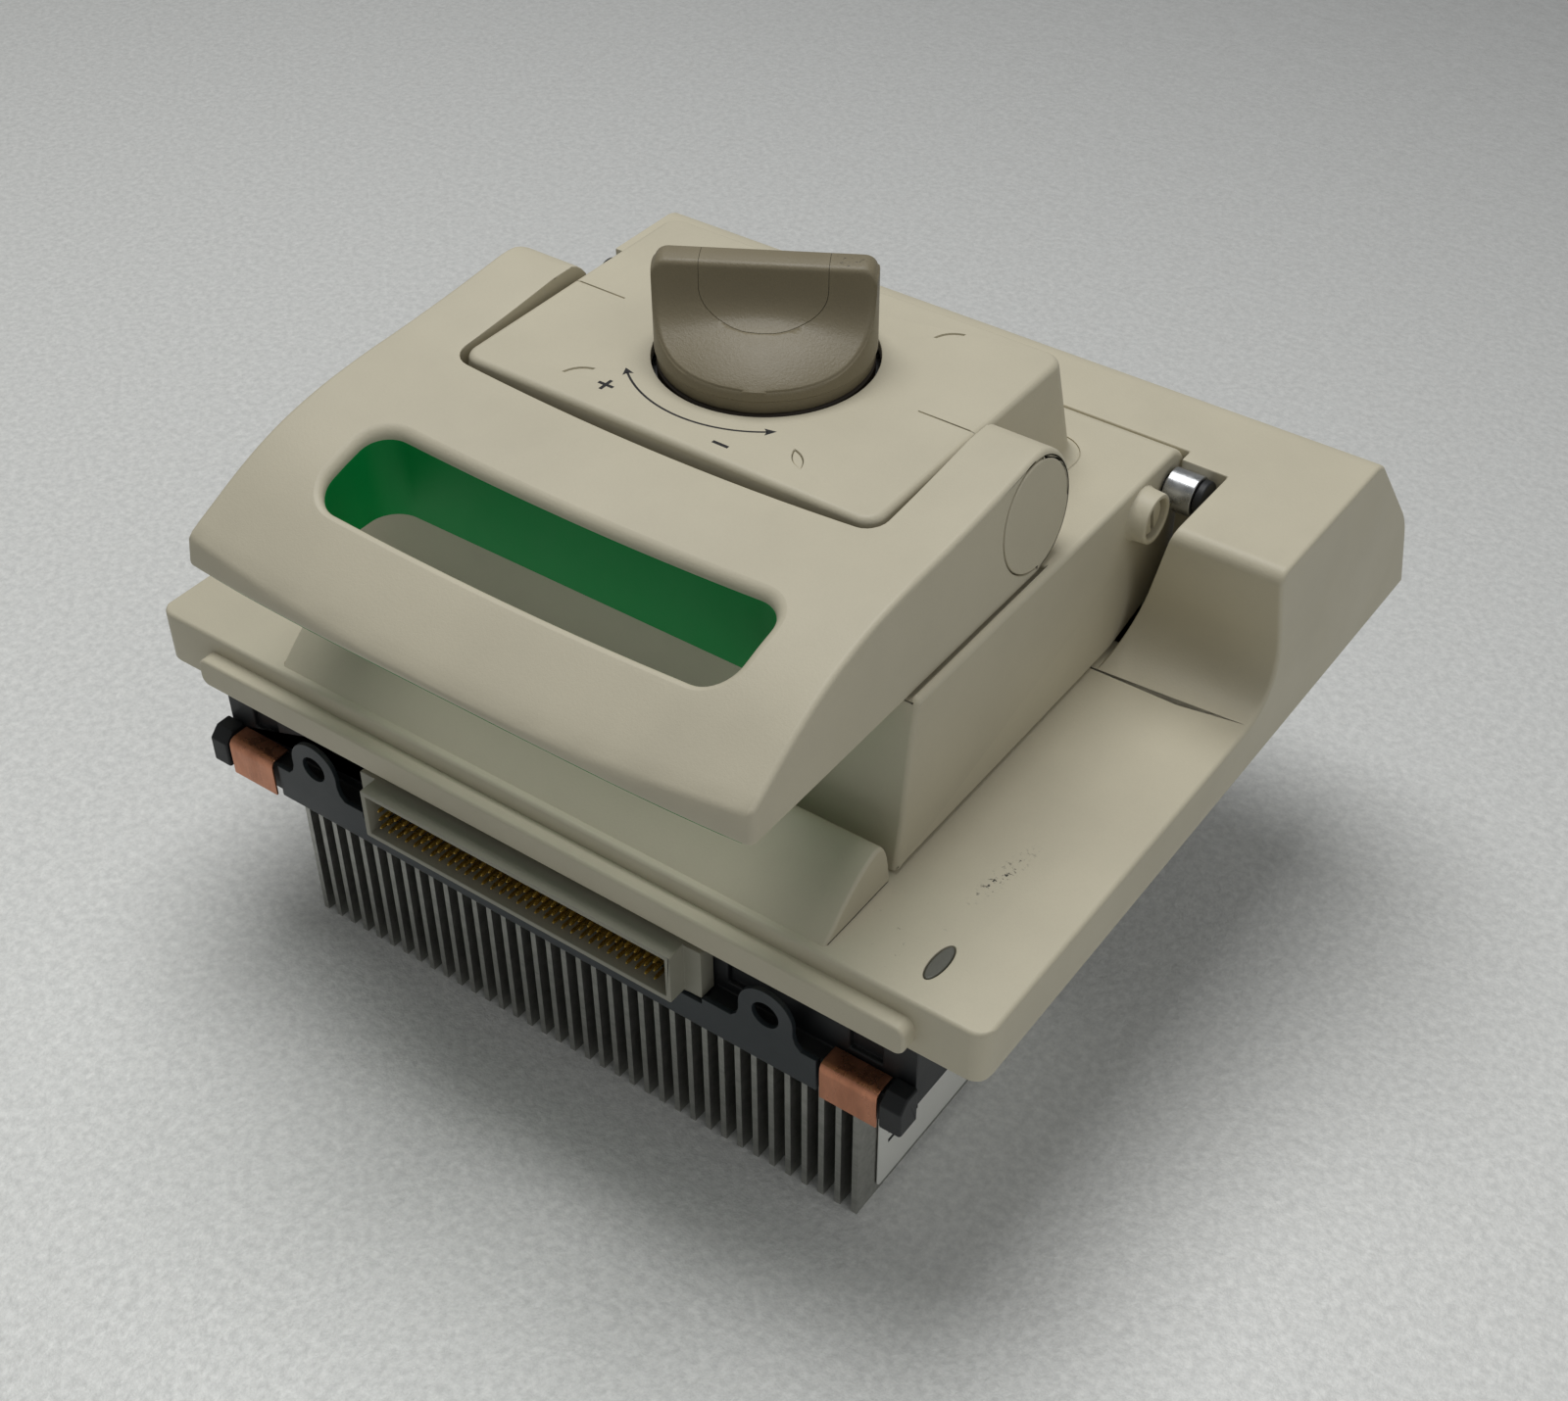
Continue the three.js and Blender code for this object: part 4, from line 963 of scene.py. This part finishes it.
# ---- Printed marks -------------------------------------------------------------------------------
def printed(name, shapes):
    """Thin raised shapes on the plate's top."""
    bm = bmesh.new()
    for outline in shapes:
        low = [bm.verts.new((x, y, PLATE_TOP - 0.02)) for x, y in outline]
        high = [bm.verts.new((x, y, PLATE_TOP + 0.03)) for x, y in outline]
        bm.faces.new(high)
        bm.faces.new(low[::-1])
        for j in range(len(outline)):
            k = (j + 1) % len(outline)
            bm.faces.new((low[j], low[k], high[k], high[j]))
    return finished(from_bmesh(name, bm), name, "lid", INK)


def polar(radius, degrees):
    """A point at a radius and an angle about the knob's axis."""
    a = math.radians(degrees)
    return KNOB_X + radius * math.cos(a), KNOB_Y + radius * math.sin(a)


def arrow_marks():
    radius, width = 30.8, 0.26
    first, last = 230.5, 306.5
    angles = [first + (last - first) * k / 40 for k in range(41)]
    band = [polar(radius + width, a) for a in angles] + [polar(radius - width, a) for a in reversed(angles)]
    heads = [[polar(radius, end - 3.6 * way), polar(radius + 1.25, end + 1.2 * way),
              polar(radius, end + 0.3 * way), polar(radius - 1.25, end + 1.2 * way)]
             for end, way in ((first, 1), (last, -1))]
    printed("arrow_arc", [band] + heads)
    plus, minus = polar(36.4, 236), polar(36.4, 291)
    arm, half = 2.0, 0.42
    cross = [(half, arm), (half, half), (arm, half), (arm, -half), (half, -half), (half, -arm)]
    cross += [(-x, -y) for x, y in cross]
    bar = [(arm, half), (arm, -half), (-arm, -half), (-arm, half)]
    printed("plus_mark", [[(plus[0] + x, plus[1] + y) for x, y in cross]])
    printed("minus_mark", [[(minus[0] + x, minus[1] + y) for x, y in bar]])


# ---- Lid hinges ----------------------------------------------------------------------------------
def lid_hinges():
    for side, tag in SIDES:
        x0, x1 = span(side, 76.9, 84)
        barrel = prism_x("barrel", circle(HINGE_Y, HINGE_Z, 4.9, 48), x0, x1, 0.3)
        outline = rounded([(137, 34.2, 0), (160, 34.2, 0), (160, 36.2, 0.5), (137, 36.2, 0.5)], 3)
        join(barrel, prism_x("leaf", outline, x0, x1))
        cut(barrel, prism_x("bore", circle(HINGE_Y, HINGE_Z, 2.8, 32), -90, 90))
        finished(barrel, f"hinge_knuckle_{tag}", "base", STEEL, [f"hinge_leaf_{tag}"])
        x0, x1 = span(side, 84.2, 86.2)
        cap = prism_x("cap", circle(HINGE_Y, HINGE_Z, 4.4, 40), x0, x1, 0.5)
        finished(cap, f"hinge_end_cap_{tag}", "base", BLACK, [f"hinge_cap_{tag}"])


# ---- Chassis, bracket and straps -----------------------------------------------------------------
FLANGE_HALF = 48.5
FLANGE_X0, FLANGE_X1 = SHROUD_X - FLANGE_HALF, SHROUD_X + FLANGE_HALF
SHROUD_Z0, SHROUD_Z1 = SHROUD_Z - SHROUD_RISE, SHROUD_Z + SHROUD_RISE


def chassis():
    ring = block(-98.4, 98.4, 2, 178, -34, -15, "chassis")
    cut(ring, block(-83.4, 83.4, 5.2, 166, -40, 0))
    join(ring, block(-93.4, 93.4, -2, 6, -38, -28.6))
    cut(ring, block(FLANGE_X0 - 0.5, FLANGE_X1 + 0.5, -3, 2, SHROUD_Z0 - 0.5, 0))
    for x in (-86, -55, 55, 86):
        cut(ring, block(x - 4, x + 4, 1, 3.4, -26, -16))
    bevelled(tidied(ring), 0.5)
    finished(ring, "chassis_moulding", "base", BLACK, ["chassis_frame"])
    for side, tag in SIDES:
        x0, x1 = span(side, 93.8, 99.2)
        outline = rounded([(-4.8, -36.4, 0.8), (1.7, -36.4, 0.4), (1.7, -26.6, 0.4), (-2.2, -26.6, 0.6),
                           (-4.8, -29.2, 0.8)], 3)
        piece = prism_x("end", outline, x0, x1, 0.6)
        finished(piece, f"end_block_moulding_{tag}", "base", BLACK, [f"end_block_{tag}"])


def ear_bracket():
    outline = [(-77.5, -37.4), (77.5, -37.4), (77.5, -28)]
    turns = [math.pi * k / 20 for k in range(21)]
    for cx in (EAR_X, -EAR_X):
        outline += [(cx + 9, -28), (cx + 7.6, -26.6), (cx + 7, -24.6)]
        outline += [(cx + 7 * math.cos(a), EAR_Z + 7 * math.sin(a)) for a in turns]
        outline += [(cx - 7, -24.6), (cx - 7.6, -26.6), (cx - 9, -28)]
    outline += [(-77.5, -28)]
    plate = prism_y("bracket", outline, -3.6, -2.3)
    for cx in (EAR_X, -EAR_X):
        cut(plate, prism_y("hole", circle(cx, EAR_Z, 3.4, 40), -6, 0))
    cut(plate, block(FLANGE_X0 - 0.5, FLANGE_X1 + 0.5, -6, 0, SHROUD_Z0 - 0.5, 0))
    bevelled(tidied(plate), 0.2)
    return finished(plate, "ear_plate", "base", SLATE, ["ear_bracket"])


def earth_straps():
    for side, tag in SIDES:
        x0, x1 = span(side, 78.8, 93)
        path = [(-4.35, -37.6), (-4.4, -30), (-4.3, -28.6), (-3.7, -27.6), (-2.6, -27.25), (1.5, -27.2)]
        inner = [(1.5, -27.7), (-2.5, -27.75), (-3.2, -28.0), (-3.7, -28.9), (-3.85, -30), (-3.8, -37.6)]
        strap = prism_x("strap", path + inner, x0, x1, 0.12)
        finished(strap, f"copper_strap_{tag}", "base", COPPER, [f"earth_strap_{tag}"])


# ---- Edge connector ------------------------------------------------------------------------------
def connector():
    x0, x1 = SHROUD_X - SHROUD_HALF, SHROUD_X + SHROUD_HALF
    z0, z1 = SHROUD_Z0, SHROUD_Z1
    shroud = block(x0, x1, -7.6, 0, z0, z1, "shroud", 0.5)
    join(shroud, block(FLANGE_X0, FLANGE_X1, -2.8, 1.6, z0, z1, "flange", 0.5))
    cut(shroud, block(x0 + 1.4, x1 - 1.4, -9, -0.4, z0 + 1.4, z1 - 1.4))
    bevelled(tidied(shroud), 0.25)
    finished(shroud, "connector_housing", "base", SHROUD, ["connector_shroud"])
    # Painted shade: a black sheet at the back of the shroud's cavity stands in for the shade inside it.
    floor = block(x0 + 1.5, x1 - 1.5, -1.6, -0.7, z0 + 1.5, z1 - 1.5, "floor")
    finished(floor, "connector_shade_sheet", "base", BLACK)
    bm = bmesh.new()
    for row in range(3):
        for column in range(32):
            x = SHROUD_X + (column - 15.5) * CONTACT_PITCH
            z = SHROUD_Z + (row - 1) * CONTACT_PITCH
            rings = []
            for y, half in ((-1.0, 0.32), (-6.4, 0.32), (-6.95, 0.24), (-7.2, 0.12)):
                corners = ((-1, -1), (1, -1), (1, 1), (-1, 1))
                rings.append([bm.verts.new((x + a * half, y, z + b * half)) for a, b in corners])
            bm.faces.new(rings[0][::-1])
            bm.faces.new(rings[-1])
            for near, far in zip(rings, rings[1:]):
                for j in range(4):
                    k = (j + 1) % 4
                    bm.faces.new((near[j], near[k], far[k], far[j]))
    finished(from_bmesh("pins", bm), "connector_contacts", "base", GOLD, ["connector_pins"])


# ---- Label ---------------------------------------------------------------------------------------
def label():
    low, high = (Vector(v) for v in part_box("heat_sink_label"))
    y0, y1 = (low.y - FRAME_Y) / MM, (high.y - FRAME_Y) / MM
    z0, z1 = (low.z - FRAME_Z) / MM, (high.z - FRAME_Z) / MM
    x = high.x / MM
    film = prism_x("film", rectangle(y0, y1, z0, z1, 1.5, 4), x - 0.25, x - 0.05)
    finished(film, "label_film", "base", PAPER, ["heat_sink_label"])
    for i, length in enumerate((22, 16, 24, 19, 24, 12)):
        top = z1 - 4.9 - i * 3.2
        bar = block(x - 0.1, x, y0 + 4, y0 + 4 + length, top - 1.1, top)
        finished(bar, f"label_bar_{i}", "base", INK)


# ---- CAD nodes that keep their shape -------------------------------------------------------------
SLOT_PAINT = {
    "casing": CASING, "knob_plastic": TAUPE, "liner_green": GREEN, "black_plastic": BLACK,
    "slate_steel": SLATE, "connector_body": SHROUD, "contact_gold": GOLD, "strap_copper": COPPER,
    "aluminium": ALUMINIUM, "steel": STEEL, "brass": BRASS, "label": PAPER, "rubber": RUBBER,
    "ceramic": CERAMIC, "board": BOARD, "lens": LENS, "heater": HEATER,
}


def paint_nodes():
    slots = {part["node"]: part["material_slot"] for part in frame["record"]["subparts"]}
    for name, node in frame["nodes"].items():
        node.data.materials.clear()
        node.data.materials.append(SLOT_PAINT[slots[name]])


# ---- Stage ---------------------------------------------------------------------------------------
def stage():
    """Speckled floor with painted shade (darker towards the back and in its foam pits), sky and two lamps."""
    bpy.ops.mesh.primitive_plane_add(size=6)
    floor = bpy.context.object
    floor.name = "floor"
    paint = Paint("floor_paint")
    depth = paint.node("ShaderNodeSeparateXYZ", {0: paint.place}).outputs[1]
    # Painted shade: the floor's colour runs from pale at the front to grey at the back, standing in for light
    # falling off towards the back.
    painted_falloff = paint.ramp(depth, -0.15, 0.75)
    falloff_tone = paint.mix(painted_falloff, linear(252, 253, 250), linear(166, 167, 167))
    cells = paint.ramp(paint.noise(420, 3, 0.7), 0.36, 0.68)
    coarse = paint.ramp(paint.noise(130, 3, 0.6), 0.35, 0.7)
    # Painted shade: darker cells stand in for the shade inside the foam's pits.
    pit_shade = paint.math("MULTIPLY", paint.math("SUBTRACT", 1.0, cells), 0.3)
    shaded = paint.mix(pit_shade, falloff_tone, linear(150, 152, 152))
    paint.wire("Base Color", paint.mix(paint.math("MULTIPLY", coarse, 0.12), shaded, linear(225, 228, 228)))
    foam = paint.math("ADD", paint.noise(520, 3, 0.6), paint.math("MULTIPLY", paint.noise(170, 2, 0.5), 0.8))
    paint.wire("Normal", paint.bump(foam, 0.35, 0.0012))
    paint.set(Roughness=0.42, Specular_IOR_Level=0.5)
    floor.data.materials.append(paint.material)

    world = bpy.data.worlds.new("studio")
    bpy.context.scene.world = world
    world.use_nodes = True
    sky = world.node_tree.nodes["Background"]
    sky.inputs["Color"].default_value = (0.94, 0.95, 0.93, 1)
    sky.inputs["Strength"].default_value = 0.2

    def lamp(name, place, target, size, power):
        light = bpy.data.lights.new(name, "AREA")
        light.shape = "DISK"
        light.size = size
        light.energy = power
        lamp_object = bpy.data.objects.new(name, light)
        lamp_object.location = place
        aim = Vector(target) - Vector(place)
        lamp_object.rotation_euler = aim.to_track_quat("-Z", "Y").to_euler()
        bpy.context.collection.objects.link(lamp_object)

    lamp("key", (-0.2, 0.22, 1.3), (0, 0, 0.1), 0.9, 10)
    lamp("fill", (1.1, -0.2, 0.9), (0, 0, 0.1), 1.2, 2)
    bpy.context.scene.view_settings.view_transform = "Standard"


def camera():
    view = bpy.data.cameras.new("view")
    view.sensor_width = 36
    view.lens = 51.23
    view.shift_x = -0.011
    view.shift_y = 0.0044
    view.clip_start = 0.01
    eye = bpy.data.objects.new("view", view)
    eye.location = placed((247.4, -248.2, 327.6))
    eye.rotation_euler = (math.radians(48.96), 0, math.radians(35.36))
    bpy.context.collection.objects.link(eye)
    bpy.context.scene.camera = eye


camera()
stage()
paint_nodes()
deck_casing()
front_rail()
ramp()
status_lens()
lid_cover()
plate_plugs()
screw_bosses()
handle_shell()
pivot_caps()
handle_liner()
knob()
arrow_marks()
lid_hinges()
chassis()
ear_bracket()
earth_straps()
connector()
label()
